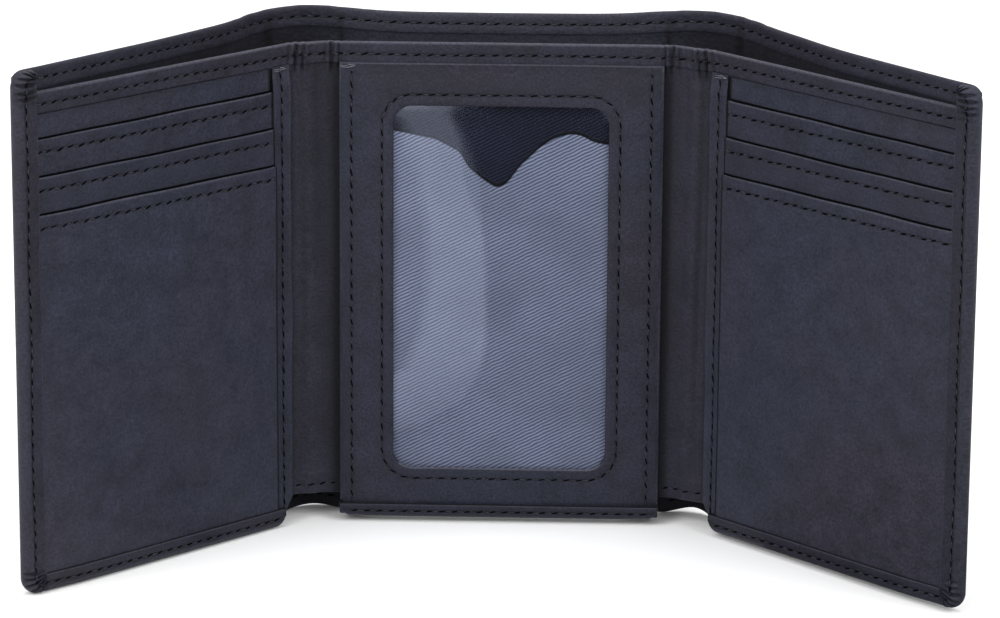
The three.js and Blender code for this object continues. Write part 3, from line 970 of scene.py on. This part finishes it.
# Inner leather: front up to a half round top edge, then down the hem and the back
def buildLining(name, u0, u1):
    count = int(abs(u1 - u0) / liningShape["station"]) + 2
    u = np.linspace(u0, u1, count)[:, None]
    a = np.abs(u)
    inSpine = smooth(a, 31.2, 32.4) * (1 - smooth(a, 45.2, 46.4))
    foot = liningShape["innerFoot"] + (liningShape["spineFoot"] - liningShape["innerFoot"]) * inSpine
    foot = foot + np.where(u > 0, plan["lift"]["right"], 0.0) * smooth(a, 45.2, 47)
    front = np.concatenate([[0.28, 0.8, 1.5, 1.8, 2.1, 2.4, 2.8, 3.8, 4.5, 4.75, 5.0],
                            np.linspace(6.5, 89, 34)])
    upper = np.array([95.5, 96.5, 97.4, 98.1, 98.5, 98.66, 98.78, 98.9, 99.05, 99.5, 100.0, 100.3,
                      100.5, 100.7, 100.9, 101.1, 101.5, 102.1, 102.72])
    angles = np.radians(np.linspace(15, 165, 6))
    roundZ = 102.72 + 0.58 * np.sin(angles)
    roundOff = 0.58 - 0.58 * np.cos(angles)
    back = np.array([102.6, 101.5, 100.2, 99.0, 98.75, 98.7, 98.5])
    backOff = np.array([1.16, 1.16, 1.16, 1.16, 1.05, 0.65, 0.6])
    lower = np.linspace(94, 12, 12)
    tail = np.array([5.0, 4.8, 4.7, 2.0, 0.4, 0.1, 0.0])
    tailOff = np.array([0.6, 0.65, 1.1, 1.15, 1.15, 0.9, 0.4])
    ones = np.ones_like(u)
    z = np.concatenate([foot + front, ones * upper, ones * roundZ, ones * back, ones * lower,
                        foot + tail], 1)
    zero = 0 * u
    hemOff = 0.6 + (tailOff - 0.6) * np.where(tailOff > 0.6, inSpine, 1)
    off = np.concatenate([zero + 0 * front, zero + 0 * upper, ones * roundOff, ones * backOff,
                          zero + 0.6 + 0 * lower, hemOff], 1)
    seen = np.concatenate([np.ones(len(front) + len(upper)), np.linspace(1, 0.4, 6),
                           np.full(len(back) + len(lower) + len(tail), 0.4)])
    depth = off + liningRelief(u, z) * seen
    dark = liningPaintedShade(u, z) * (seen > 0.9)
    # rubbed top edge with a painted highlight along it
    wearAndPaintedLight = 0.55 * smooth(z, liningTop - 0.55, liningTop - 0.1) + 0 * u
    soften = liningShape["pathSoften"]
    piece = sweep(name, u, depth, z, gussetLook, soften=soften, dark=dark, wearAndPaintedLight=wearAndPaintedLight, layer=15.0)
    line = np.linspace(u0, u1, 260)
    zRow = np.full(line.shape, liningTop - liningShape["hemStitch"])
    zRow = zRow + 0.10 * np.sin(line / 7.0)
    rows = [rowOf(line, liningRelief(line, zRow) - 0.06, zRow, -1, soften)]
    gusset = line[(np.abs(line) > 33.9) & (np.abs(line) < 44.2)]
    if len(gusset) > 3:
        zRow = np.full(gusset.shape, liningShape["spineStitch"])
        rows.append(rowOf(gusset, liningRelief(gusset, zRow) - 0.05, zRow, -1, soften))
    return piece, stitchPiece(name + "_stitches", rows)


for word, sign in sides.items():
    made = buildLining(f"lining_leather_{word}_wing", sign * (outerFold + liningShape["end"] - 0.4
                                                              - plan["trim"][word]),
                       sign * midSpine)
    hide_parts(f"lining_{word}_wing", f"lining_top_hem_{word}_wing")
    for piece in made:
        bendWing(piece, word, 1.5)
    made = buildLining(f"lining_leather_{word}_inner", sign * midSpine, 0.0)
    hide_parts(f"lining_{word}_spine", f"lining_top_hem_{word}_spine",
                f"lining_bottom_hem_{word}_spine", "lining_centre", "lining_top_hem_centre")
    for piece in made:
        bendInner(piece, word, 33.2)
print("inner leather done")


cardSlots = {
    "tops": (93.8, 86.1, 78.5),
    "fronts": (0.95, 1.55, 2.15),
    "thick": 0.42,
    "start": 6.5,
    "end": 73.0,
    "stitchBelow": 2.7,
    "stitchSlant": 21.0,
    "lipForward": 0.22,
    "overlap": 2.0,
    "tailFoot": 12.0,
}
binding = {"start": 1.35, "end": 6.15, "front": 0.9, "thick": 0.6, "top": 99.0, "stitch": 3.9}


# One stepped facing: flat front, lip swelling forward over the top few millimetres, round folded
# top edge, back 0.4 mm behind
def buildSlot(word, number):
    c = cardSlots
    sign = sides[word]
    top, front = c["tops"][number], c["fronts"][number]
    isPanel = number == 2
    end = c["end"] - plan["trim"][word]
    foot = 1.0 + plan["lift"][word] if isPanel else c["tops"][number + 1] - c["overlap"]
    s = np.arange(c["start"] + 0.665, end + 0.01, 0.665)
    s = np.concatenate([c["start"] + np.array([0.0, 0.22, 0.34, 0.46]), s])[:, None]
    row = top - c["stitchBelow"]
    low = np.linspace(foot + 0.2, row - 1.0, 40 if isPanel else 7)
    near = row + np.array([-0.6, -0.4, -0.2, 0.0, 0.2, 0.4, 0.6])
    high = top - np.array([1.7, 1.3, 0.9, 0.6, 0.36])
    angle = np.radians(np.linspace(15, 165, 6))
    roundZ = top - 0.3 + 0.3 * np.sin(angle)
    thick = c["thick"] + 0.16
    roundY = -0.5 * thick * np.cos(angle)
    frontZ = np.concatenate([low, near, high])
    frontY = -0.5 * thick + 0 * frontZ
    backZ = np.array([top - 0.4, top - 1.6, row, foot + 0.4])
    backY = np.array([0.5, 0.5, 0.5, 0.5]) * thick
    z = np.concatenate([frontZ, roundZ, backZ])[None] + 0 * s
    y = np.concatenate([frontY, roundY, backY])[None] + 0 * s
    isFront = np.concatenate([np.ones(len(frontZ)), np.zeros(len(roundZ) + len(backZ))])[None]
    sag = slotSag(s, number)
    z = z + sag * smooth(z, top - 3.5, top - 0.5)
    lip = c["lipForward"] * smooth(z, row - 0.2, top - 0.4) * (1 + 0.35 * np.sin(s / 5.3 + number))
    edgeIn = smooth(s, c["start"], c["start"] + 2.5) * (1 - smooth(s, 66, 69))
    groove = 0.15 * bump(z, row + 0.08 * np.sin(s * 2.4), 0.34) * isFront
    pillow = pillowAt(s, z, isFront) if isPanel else 0.0
    depth = (-front + 0.5 * thick) * pressed(s) + y - lip * edgeIn + groove - pillow
    # painted shade in the stitch groove, at the cut start edge, and a little over the two smaller facings
    dark = 0.34 * bump(z, row, 0.36) * isFront + 0.95 * (s < c["start"] + 0.36)
    dark = dark + 0.08 * (not isPanel)
    # rubbed folded top edge with a painted highlight
    wearAndPaintedLight = 0.42 * smooth(z, top - 0.32, top - 0.05) * (y < 0.1)
    piece = sweep(f"card_facing_{word}_{number + 1}", sign * (outerFold + s) + 0 * z, depth, z,
                  facingLook, dark=dark, wearAndPaintedLight=wearAndPaintedLight, layer=22.0 + 5 * number)
    line = np.linspace(c["start"] + 0.9, 68.6, 110)
    zRow = row + 0.16 * np.sin(line * 2 * math.pi / (2 * stitchSize["pitch"]))
    surface = (-front + 0.5 * thick) * pressed(line) - 0.5 * thick
    if isPanel:
        surface = surface - pillowAt(line, row)
    rows = [rowOf(sign * (outerFold + line), surface + 0.1, zRow)
            + (c["stitchSlant"], 1.22)]
    settle(piece, word + "_wing", "inner_leather", f"card_slot_{word}_{number + 1}")
    return rows


# The pocket mouths aren't quite straight
def slotSag(s, number):
    return 0.07 * np.sin(s / 11.7 + number * 1.9) + 0.04 * np.sin(s / 3.9 + number)


# The front panel swells: half a sine each way, and slow waves on its face
def pillowAt(s, z, onFace=1.0):
    up = np.sin(np.pi * np.clip((z - 3) / 72, 0, 1))
    across = np.sin(np.pi * np.clip((s - 6) / 63, 0, 1))
    return 0.30 * up * across + 0.12 * unevenness(s, z, 41, 1.4) * onFace


# Painted shadow above each pocket mouth: a thin black strip tucked between lip and facing, standing in
# for the shade of the crevice
def buildMouthShadow(word, number):
    c = cardSlots
    sign = sides[word]
    s = np.arange(c["start"] + 0.1, 69.6, 0.8)[:, None]
    top = c["tops"][number] + slotSag(s, number)
    behind = 0.30 if number == 0 else c["fronts"][number - 1] * pressed(s)
    y = np.array([-0.10, -0.16, -0.10, 0.14, 0.14])[None]
    rise = np.array([-1.6, -0.2, 0.34, 0.34, -1.6])[None]
    piece = sweep(f"pocket_mouth_shadow_{word}_{number + 1}", sign * (outerFold + s) + 0 * y,
                  -behind + y + 0 * s, top + rise, paintedShadeFinish, layer=3.0)
    settle(piece, word + "_wing", "black_cloth")


# Leather strip beside the pockets, section across s carried up z
def buildBinding(word):
    b = binding
    sign = sides[word]
    low = 1.0 + plan["lift"][word]
    z = np.arange(low, b["top"] + 0.01, 0.7)
    z = np.concatenate([z, [b["top"]]])[:, None]
    s = np.array([b["start"], b["start"] + 0.05, b["start"] + 0.2, b["start"] + 0.5, 2.6, 3.3, 3.5, 3.7,
                  3.9, 4.1, 4.3, 4.5, 5.2, b["end"] - 0.4, b["end"] - 0.12, b["end"], b["end"],
                  b["end"] - 0.1, b["start"] + 0.1])[None]
    y = np.array([0.15, 0.4, 0.56, 0.6, 0.62, 0.6, 0.55, 0.49, 0.46, 0.49, 0.55, 0.6, 0.62, 0.6, 0.52,
                  0.36, 0.06, 0.0, 0.0])[None]
    wander = 0.10 * np.sin(z / 9.1) + 0.06 * np.sin(z / 3.7)
    inner = 1 - smooth(s, 1.4, 3.0)
    tuck = 0.62 * smooth(z, b["top"] - 5, b["top"] - 0.4)  # its top lies flush under the hem
    depth = -(b["front"] - b["thick"]) - y - 0.06 * np.sin(z / 5.1) * (y > 0.3) + tuck * (y > 0.04)
    foot = low + 5.2 * (1 - smooth(s, 0.6, 5.4))  # its lower corner is cut away in a curve
    z = foot + (z - low) * (b["top"] - foot) / (b["top"] - low)
    # painted shade in the stitch groove and along the edge by the pockets
    dark = 0.30 * bump(s, b["stitch"], 0.4) + 0.55 * smooth(s, b["end"] - 0.16, b["end"]) + 0 * z
    # rubbed raised edge with a painted highlight
    wearAndPaintedLight = 0.12 * inner * (y > 0.3) + 0 * z
    piece = sweep(f"binding_strip_{word}", sign * (outerFold + s + wander * inner), depth, z + 0 * s,
                  facingLook, dark=dark, wearAndPaintedLight=wearAndPaintedLight, layer=40.0)
    settle(piece, word + "_wing", "inner_leather", f"inner_binding_{word}")
    line = np.linspace(3.6, b["top"] - 0.8, 150)
    lift = 0.62 * smooth(line, b["top"] - 5, b["top"] - 0.4) - 0.06 * np.sin(line / 5.1)
    rows = [rowOf(sign * (outerFold + b["stitch"] + 0 * line), -b["front"] + 0.10 + lift, line)
            + (stitchSize["slantDegrees"], 1.18)]
    # painted shadow: a thin black strip standing in for the shade in the gap between the strip and the
    # pockets
    z = np.linspace(low + 0.2, b["top"] - 0.4, 100)[:, None]
    s = np.array([b["end"] - 0.05, b["end"] + 0.42, b["end"] + 0.42, b["end"] - 0.05])[None]
    y = np.array([-0.62, -0.62, -0.2, -0.2])[None] + 0.35 * smooth(z, b["top"] - 5, b["top"] - 0.4)
    piece = sweep(f"binding_gap_shadow_{word}", sign * (outerFold + s) + 0 * z, y, z + 0 * s, paintedShadeFinish)
    settle(piece, word + "_wing", "black_cloth")
    return rows


# Backing of the hidden slip pocket, and the cloth tails under the two rear facings
def buildPocketCloth(word):
    sign = sides[word]
    c = cardSlots
    end = c["end"] - plan["trim"][word]
    s = np.append(c["start"] + np.array([0.05, 0.45, 0.9]), np.linspace(8.5, end - 0.3, 60))[None]
    z = np.linspace(1.2 + plan["lift"][word], liningShape["hemLine"] - 0.15, 50)[:, None]
    front = -0.30 - 0.05 * unevenness(s, z, 33, 0.4) + 0 * z
    # painted shade under the hem line and at the cut start edge
    dark = 0.25 * smooth(z, liningShape["hemLine"] - 0.9, liningShape["hemLine"] - 0.3)
    dark = dark + 0.9 * (s < c["start"] + 0.8)
    piece = slab(f"slip_pocket_{word}", sign * (outerFold + s) + 0 * z, front, front + 0.18, z + 0 * s,
                 facingLook, dark=dark, layer=50.0)
    settle(piece, word + "_wing", "inner_leather", f"slip_pocket_backing_{word}")
    for number in (0, 1):
        foot, top = c["tailFoot"], c["tops"][number + 1] - c["overlap"] - 0.35
        z = np.linspace(foot, top, 24)[:, None]
        back = -c["fronts"][number] + 0.42
        front = back - 0.18 - 0.02 * unevenness(s, z, 27, number) + 0 * z
        piece = slab(f"pocket_tail_{word}_{number + 1}", sign * (outerFold + s) + 0 * z, front,
                     front + 0.16, z + 0 * s, backClothLook, layer=60.0)
        settle(piece, word + "_wing", "black_cloth", f"card_slot_tail_{word}_{number + 1}")


for word in sides:
    rows = list(wingRows[word])
    for number in range(3):
        rows += buildSlot(word, number)
        buildMouthShadow(word, number)
    rows += buildBinding(word)
    buildPocketCloth(word)
    threads = stitchPiece(f"stitches_{word}_wing", rows)
    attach(threads, word + "_wing")
    sign = sides[word]
    threadTack(f"lock_stitch_{word}_wing", sign * (outerFold + 2.6), sign * (outerFold + 5.6), -0.42,
               binding["top"] - 0.9, word + "_wing")
print("card pockets done")


picture = {
    "half": 33.55,
    "foot": 1.7,
    "top": 99.0,
    "windowHalf": 22.3,
    "windowFoot": 11.9,
    "windowTop": 90.2,
    "windowRadius": 4.0,
    "front": 1.7,
    "thick": 0.45,
    "stitchOut": 2.4,
    "sideStitch": 31.0,
    "pocketHalf": 30.2,
    "pocketFoot": 5.0,
    "pocketTop": 96.5,
}


# Round the window: points of the rounded opening, the direction outwards, and how far it is to
# the frame's own edge that way
def windowRing():
    p = picture
    r = p["windowRadius"]
    cx, lowZ, highZ = p["windowHalf"] - r, p["windowFoot"] + r, p["windowTop"] - r
    across = np.linspace(-cx, cx, 64)[1:-1]
    up = np.linspace(lowZ, highZ, 108)[1:-1]
    x, z, nx, nz = [], [], [], []
    corners = [(cx, lowZ, -90), (cx, highZ, 0), (-cx, highZ, 90), (-cx, lowZ, 180)]
    runs = [(p["windowHalf"] + 0 * up, up, 1, 0), (across[::-1], p["windowTop"] + 0 * across, 0, 1),
            (-p["windowHalf"] + 0 * up, up[::-1], -1, 0), (across, p["windowFoot"] + 0 * across, 0, -1)]
    for (px, pz, start), (runX, runZ, dirX, dirZ) in zip(corners, runs):
        goalX = math.copysign(p["half"], px) - px
        goalZ = (p["foot"] if pz == lowZ else p["top"]) - pz
        split = (math.degrees(math.atan2(goalZ, goalX)) - start) % 360
        degrees = np.concatenate([np.linspace(0, split, 8)[:-1], np.linspace(split, 90, 8)]) + start
        turn = np.radians(degrees)
        x += [px + r * np.cos(turn), runX]
        z += [pz + r * np.sin(turn), runZ]
        nx += [np.cos(turn), dirX + 0 * runX]
        nz += [np.sin(turn), dirZ + 0 * runX]
    x, z, nx, nz = (np.concatenate(v) for v in (x, z, nx, nz))
    roomX = np.where(np.abs(nx) > 1e-6, (np.sign(nx) * p["half"] - x) / np.where(nx == 0, 1, nx), 1e9)
    limitZ = np.where(nz > 0, p["top"], p["foot"])
    roomZ = np.where(np.abs(nz) > 1e-6, (limitZ - z) / np.where(nz == 0, 1, nz), 1e9)
    return x, z, nx, nz, np.minimum(roomX, roomZ)


# Slow waves of the frame
def frameWave(x, z):
    return 0.10 * unevenness(x, z, 29, 0.5)


# The frame's top lies flush under the hem and its two sides sink towards the gussets
def frameTuck(x, z):
    return 1.12 * smooth(z, 92.6, 98.8) + 0.55 * smooth(np.abs(x), 30.8, 33.5) * (1 - smooth(z, 92, 98))


# Picture frame: a section carried round the window, reaching out to the edge of the frame
def buildFrame():
    p = picture
    x, z, nx, nz, room = windowRing()
    ones = np.ones(len(x))
    front, thick = p["front"], p["thick"]
    row = p["stitchOut"]
    e, y, kind = [], [], []
    plainSpots = [(0.0, 0.20, 0), (0.03, 0.36, 0), (0.14, 0.50, 0), (0.40, 0.58, 1), (1.0, 0.60, 1),
                  (row - 0.6, 0.55, 1), (row - 0.4, 0.50, 1), (row - 0.2, 0.42, 2), (row, 0.38, 2),
                  (row + 0.2, 0.42, 2), (row + 0.4, 0.50, 1), (row + 0.6, 0.52, 1)]

    def put(along, height, mark):
        e.append(along * ones)
        y.append(height * ones)
        kind.append(mark)
    for spot in plainSpots:
        put(*spot)
    for share in (0.12, 0.25, 0.40, 0.52, 0.62, 0.70, 0.76, 0.81, 0.86, 0.91, 0.95):
        put(row + 0.6 + (room - row - 0.6) * share, 0.5, 1)
    for back, height in ((0.35, 0.46), (0.12, 0.36), (0.0, 0.15), (0.05, 0.0)):
        put(room - back, height, 3)
    for along in (0.5 * room, 0.3):
        put(along, 0.0, 4)
    e, y, kind = np.stack(e, 1), np.stack(y, 1), np.array(kind)
    px = x[:, None] + nx[:, None] * e
    pz = z[:, None] + nz[:, None] * e
    shown = np.isin(kind, (1, 2))[None]
    side = 0.13 * bump(np.abs(px), p["sideStitch"], 0.45) * shown * (pz > 3)
    wave = frameWave(px, pz) * shown
    depth = -(front - thick) - y - wave + side + frameTuck(px, pz)
    # painted shade in the stitch grooves, on the window's cut edge except at its foot, and over the
    # frame, most at its top under the hem
    dark = 0.34 * bump(e, row, 0.36) * shown + 0.30 * bump(np.abs(px), p["sideStitch"], 0.5) * shown
    dark = dark + 0.65 * (np.isin(kind, (0,)))[None] * (e < 0.1) * (1 - 0.7 * (nz[:, None] < -0.7))
    dark = dark + (0.05 + 0.24 * smooth(pz, 91, 94)) * shown
    wearAndPaintedLight = 0.85 * (np.isin(kind, (0,)))[None] * (nz[:, None] < -0.7) * (e < 0.16)
    wearAndPaintedLight = wearAndPaintedLight + 0.22 * (kind == 3)[None]
    piece = sweep("picture_frame", px, depth, pz, facingLook, ring=True, dark=np.clip(dark, 0, 0.9),
                  wearAndPaintedLight=np.clip(wearAndPaintedLight, 0, 1), layer=70.0)
    settle(piece, "centre", "inner_leather", "id_frame")
    rowX, rowZ = x + nx * row, z + nz * row
    rowX = np.append(rowX, rowX[0])
    rowZ = np.append(rowZ, rowZ[0])
    base = -(front - thick)
    bold = (stitchSize["slantDegrees"], 1.15)
    rows = [rowOf(rowX, base - 0.37 - frameWave(rowX, rowZ), rowZ) + bold]
    up = np.linspace(p["foot"] + 2.9, p["top"] - 0.6, 150)
    for sign in (-1, 1):
        x = sign * p["sideStitch"] + 0 * up
        rows.append(rowOf(x, base - 0.36 - frameWave(x, up) + frameTuck(x, up), up) + bold)
    return rows


# Clear pane, a little wavy as soft vinyl is
def buildPane():
    p = picture
    x = np.linspace(-p["windowHalf"] - 2.1, p["windowHalf"] + 2.1, 60)[None]
    z = np.linspace(p["windowFoot"] - 2.1, p["windowTop"] + 2.1, 90)[:, None]
    wave = 0.035 * np.sin(x / 7.5 + 0.4) * np.sin(z / 17 + 0.9) + 0.02 * np.sin(z / 9 + x / 14)
    rim = np.minimum(smooth(24.4 - np.abs(x), 0, 4), smooth(41.2 - np.abs(z - 51.05), 0, 4))
    front = -1.08 - wave * rim
    piece = slab("window_pane", x + 0 * z, front, front + 0.2, z + 0 * x, vinylPaneLook, layer=80.0)
    settle(piece, "centre", "clear_vinyl", "id_window_pane")


notch = {
    "x": [-40, -22, -13.6, -8.4, -7.0, -3.3, -0.7, 1.4, 3.7, 8.4, 11.0, 14.6, 16.8, 19.0, 22.0, 40],
    "z": [85.9, 85.4, 83.7, 81.0, 78.0, 75.0, 73.4, 74.6, 78.0, 82.5, 84.2, 85.2, 84.8, 83.5, 82.9, 82.7],
}


# Twill lining whose top edge is cut down to a thumb notch; the back cloth is a plain rectangle
def buildPocketLining():
    p = picture
    x = np.linspace(-p["pocketHalf"], p["pocketHalf"], 130)[None]
    top = softLine(x, notch["x"], notch["z"], 1.6)
    share = np.linspace(0, 1, 70)[:, None]
    z = p["pocketFoot"] + (top - p["pocketFoot"]) * np.append(share, [[0.9895], [0.991]], 0)
    z = np.sort(z, 0)
    curl = 0.12 * smooth(z, top - 2.0, top)
    front = -0.66 - 0.04 * unevenness(x, z, 31, 0.9) + curl
    # painted shade: a dark line just below the cut top edge of the twill
    wearAndPaintedLight = smooth(z, top - 0.84, top - 0.72)
    piece = slab("pocket_twill", x + 0 * z, front, front + 0.16, z, twillLook, wearAndPaintedLight=wearAndPaintedLight, layer=90.0)
    settle(piece, "centre", "blue_grey_twill", "id_pocket_lining")
    z = np.linspace(p["pocketFoot"], p["pocketTop"], 60)[:, None]
    front = -0.34 - 0.03 * unevenness(x, z, 43, 2.9)
    piece = slab("pocket_back_cloth", x + 0 * z, front, front + 0.16, z + 0 * x, blackTwillLook,
                 layer=95.0)
    settle(piece, "centre", "black_cloth", "id_pocket_back")


threads = stitchPiece("stitches_centre", centreRows + buildFrame())
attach(threads, "centre")
threadTack("lock_stitch_centre", -33.2, -30.4, -0.72, picture["top"] - 0.9, "centre")
buildPane()
buildPocketLining()
print("picture pocket done")


studio = {
    "worldStrength": 0.68,
    "floorTone": 0.90,
    "keyPower": 15.0,
    "fillPower": 13.0,
    "topPower": 14.0,
    # cards that only the vinyl and gloss see, on the floor: glow, then corners. The first is the
    # window light, the others mask it.
    "cards": [
        (0.70, [(-60, -400), (30, -400), (30, -60), (-60, -60)]),
        (0.008, [(12, -366), (12, -387), (-23.7, -387), (-23.7, -381), (-17.7, -339), (-12.6, -287),
                 (-9.0, -229), (-7.4, -181), (-6.3, -133), (-7.2, -108), (-11.0, -84), (-18.5, -66),
                 (-27, -56), (-60, -50), (-60, -20), (300, -20), (300, -366)]),
        (0.16, [(-40.4, -364), (-33.4, -304), (-27, -231), (-23.8, -181), (-23.1, -142),
                (-25.7, -107), (-30.5, -100), (-60, -100), (-60, -364)]),
        (0.42, [(-40.4, -364), (-33.4, -304), (-27, -231), (-23.8, -181), (-23.1, -142), (-25.7, -107),
                (-24.2, -106), (-21.5, -142), (-22.0, -181), (-24.9, -231), (-31.0, -304),
                (-38.0, -364)]),
    ],
    # the glow fades between these two lines on the floor
    "fadeFrom": [(-60, -102), (-36, -102), (-24, -104), (-14, -112), (-6.6, -126)],
    "fadeTo": [(-60, -44), (-36, -46), (-24, -52), (-14, -66), (-4.0, -96)],
    "fadeSteps": 8,
}


# Even glow
def glowLook(name, glow):
    t = Tree(name)
    return t.finish(t.add("ShaderNodeEmission", strength=glow).outputs[0])


# Matt floor with a faint drift
def plainLook(name, tone, rough):
    t = Tree(name)
    coordinate = t.nodes.new("ShaderNodeTexCoord")
    soft = t.noise(coordinate.outputs["Object"], 6.0, 2.0)
    colour = t.mix(t.remap(soft, 0.3, 0.7), (tone, tone, tone, 1), (tone * 0.985,) * 3 + (1,))
    shader = t.add("ShaderNodeBsdfPrincipled", baseColour=colour, roughness=rough,
                   specular=0.1)
    return t.finish(shader.outputs[0])


# One flat face that belongs to the stage
def flatMesh(name, points, look):
    mesh = bpy.data.meshes.new(name)
    mesh.from_pydata([tuple(p) for p in points], [], [list(range(len(points)))])
    mesh.materials.append(look)
    made = bpy.data.objects.new(name, mesh)
    bpy.context.collection.objects.link(made)
    return made


flatMesh("floor", [(-4, -4, 0), (4, -4, 0), (4, 4, 0), (-4, 4, 0)],
         plainLook("paleFloor", studio["floorTone"], 0.9))
fadeFrom, fadeTo = np.array(studio["fadeFrom"]), np.array(studio["fadeTo"])
fades = []
for step in range(studio["fadeSteps"]):
    near, far = step / studio["fadeSteps"], (step + 1) / studio["fadeSteps"]
    band = [fadeFrom + (fadeTo - fadeFrom) * share for share in (near, far)]
    fades.append((0.70 - 0.54 * far, np.concatenate([band[0], band[1][::-1]]).tolist()))
studio["cards"][1:1] = fades
for number, (glow, corners) in enumerate(studio["cards"]):
    outline = [(x * 0.001, y * 0.001, 0.0004 + 0.0001 * number) for x, y in corners]
    card = flatMesh(f"card_{number}", outline, glowLook(f"cardGlow{number}", glow))
    card.visible_camera = False
    card.visible_diffuse = False
    card.visible_shadow = False
    card.visible_transmission = False


# Matrix of a thing whose own x, y and z axes point along the three directions
def facing(x, y, z, place):
    return Matrix([[float(column[k]) for column in (x, y, z, place)] for k in range(3)] + [[0, 0, 0, 1]])


# Square lamp at a place, turned to its target
def areaLight(name, place, target, size, power):
    light = bpy.data.lights.new(name, "AREA")
    light.energy = power
    light.size = size
    lamp = bpy.data.objects.new(name, light)
    back = np.array(place, float) - np.array(target, float)
    back /= np.linalg.norm(back)
    right = np.cross([0, 0, 1.0], back)
    right /= np.linalg.norm(right)
    up = np.cross(back, right)
    lamp.matrix_world = facing(right, up, back, place)
    bpy.context.collection.objects.link(lamp)


areaLight("keyLight", (-0.9, -0.8, 1.0), (0, 0, 0.05), 0.9, studio["keyPower"])
areaLight("fillLight", (1.0, -0.7, 0.9), (0, 0, 0.05), 0.9, studio["fillPower"])
areaLight("topLight", (0.0, 0.25, 1.6), (0, 0, 0.0), 1.4, studio["topPower"])
world = bpy.data.worlds.new("studio")
world.use_nodes = True
background = world.node_tree.nodes["Background"]
background.inputs["Color"].default_value = (1.0, 1.0, 1.0, 1)
background.inputs["Strength"].default_value = studio["worldStrength"]
bpy.context.scene.world = world
bpy.context.scene.view_settings.view_transform = "Standard"
bpy.context.scene.view_settings.look = "None"

eye = {
    "place": (25.09, -965.97, 320.06),
    "pitch": 0.276,
    "yaw": -0.026,
    "roll": 0.007,
    "lens": 172.72,
}
pitchSin, pitchCos = math.sin(eye["pitch"]), math.cos(eye["pitch"])
yawSin, yawCos = math.sin(eye["yaw"]), math.cos(eye["yaw"])
ahead = np.array([yawSin * pitchCos, yawCos * pitchCos, -pitchSin])
level = np.array([yawCos, -yawSin, 0.0])
above = np.cross(level, ahead)
right = level * math.cos(eye["roll"]) + above * math.sin(eye["roll"])
above = np.cross(right, ahead)
cameraData = bpy.data.cameras.new("camera")
cameraData.lens = eye["lens"]
cameraData.sensor_width = 36
cameraData.clip_start = 0.05
camera = bpy.data.objects.new("camera", cameraData)
camera.matrix_world = facing(right, above, -ahead, np.array(eye["place"]) * 0.001)
bpy.context.collection.objects.link(camera)
bpy.context.scene.camera = camera
print("stage set")
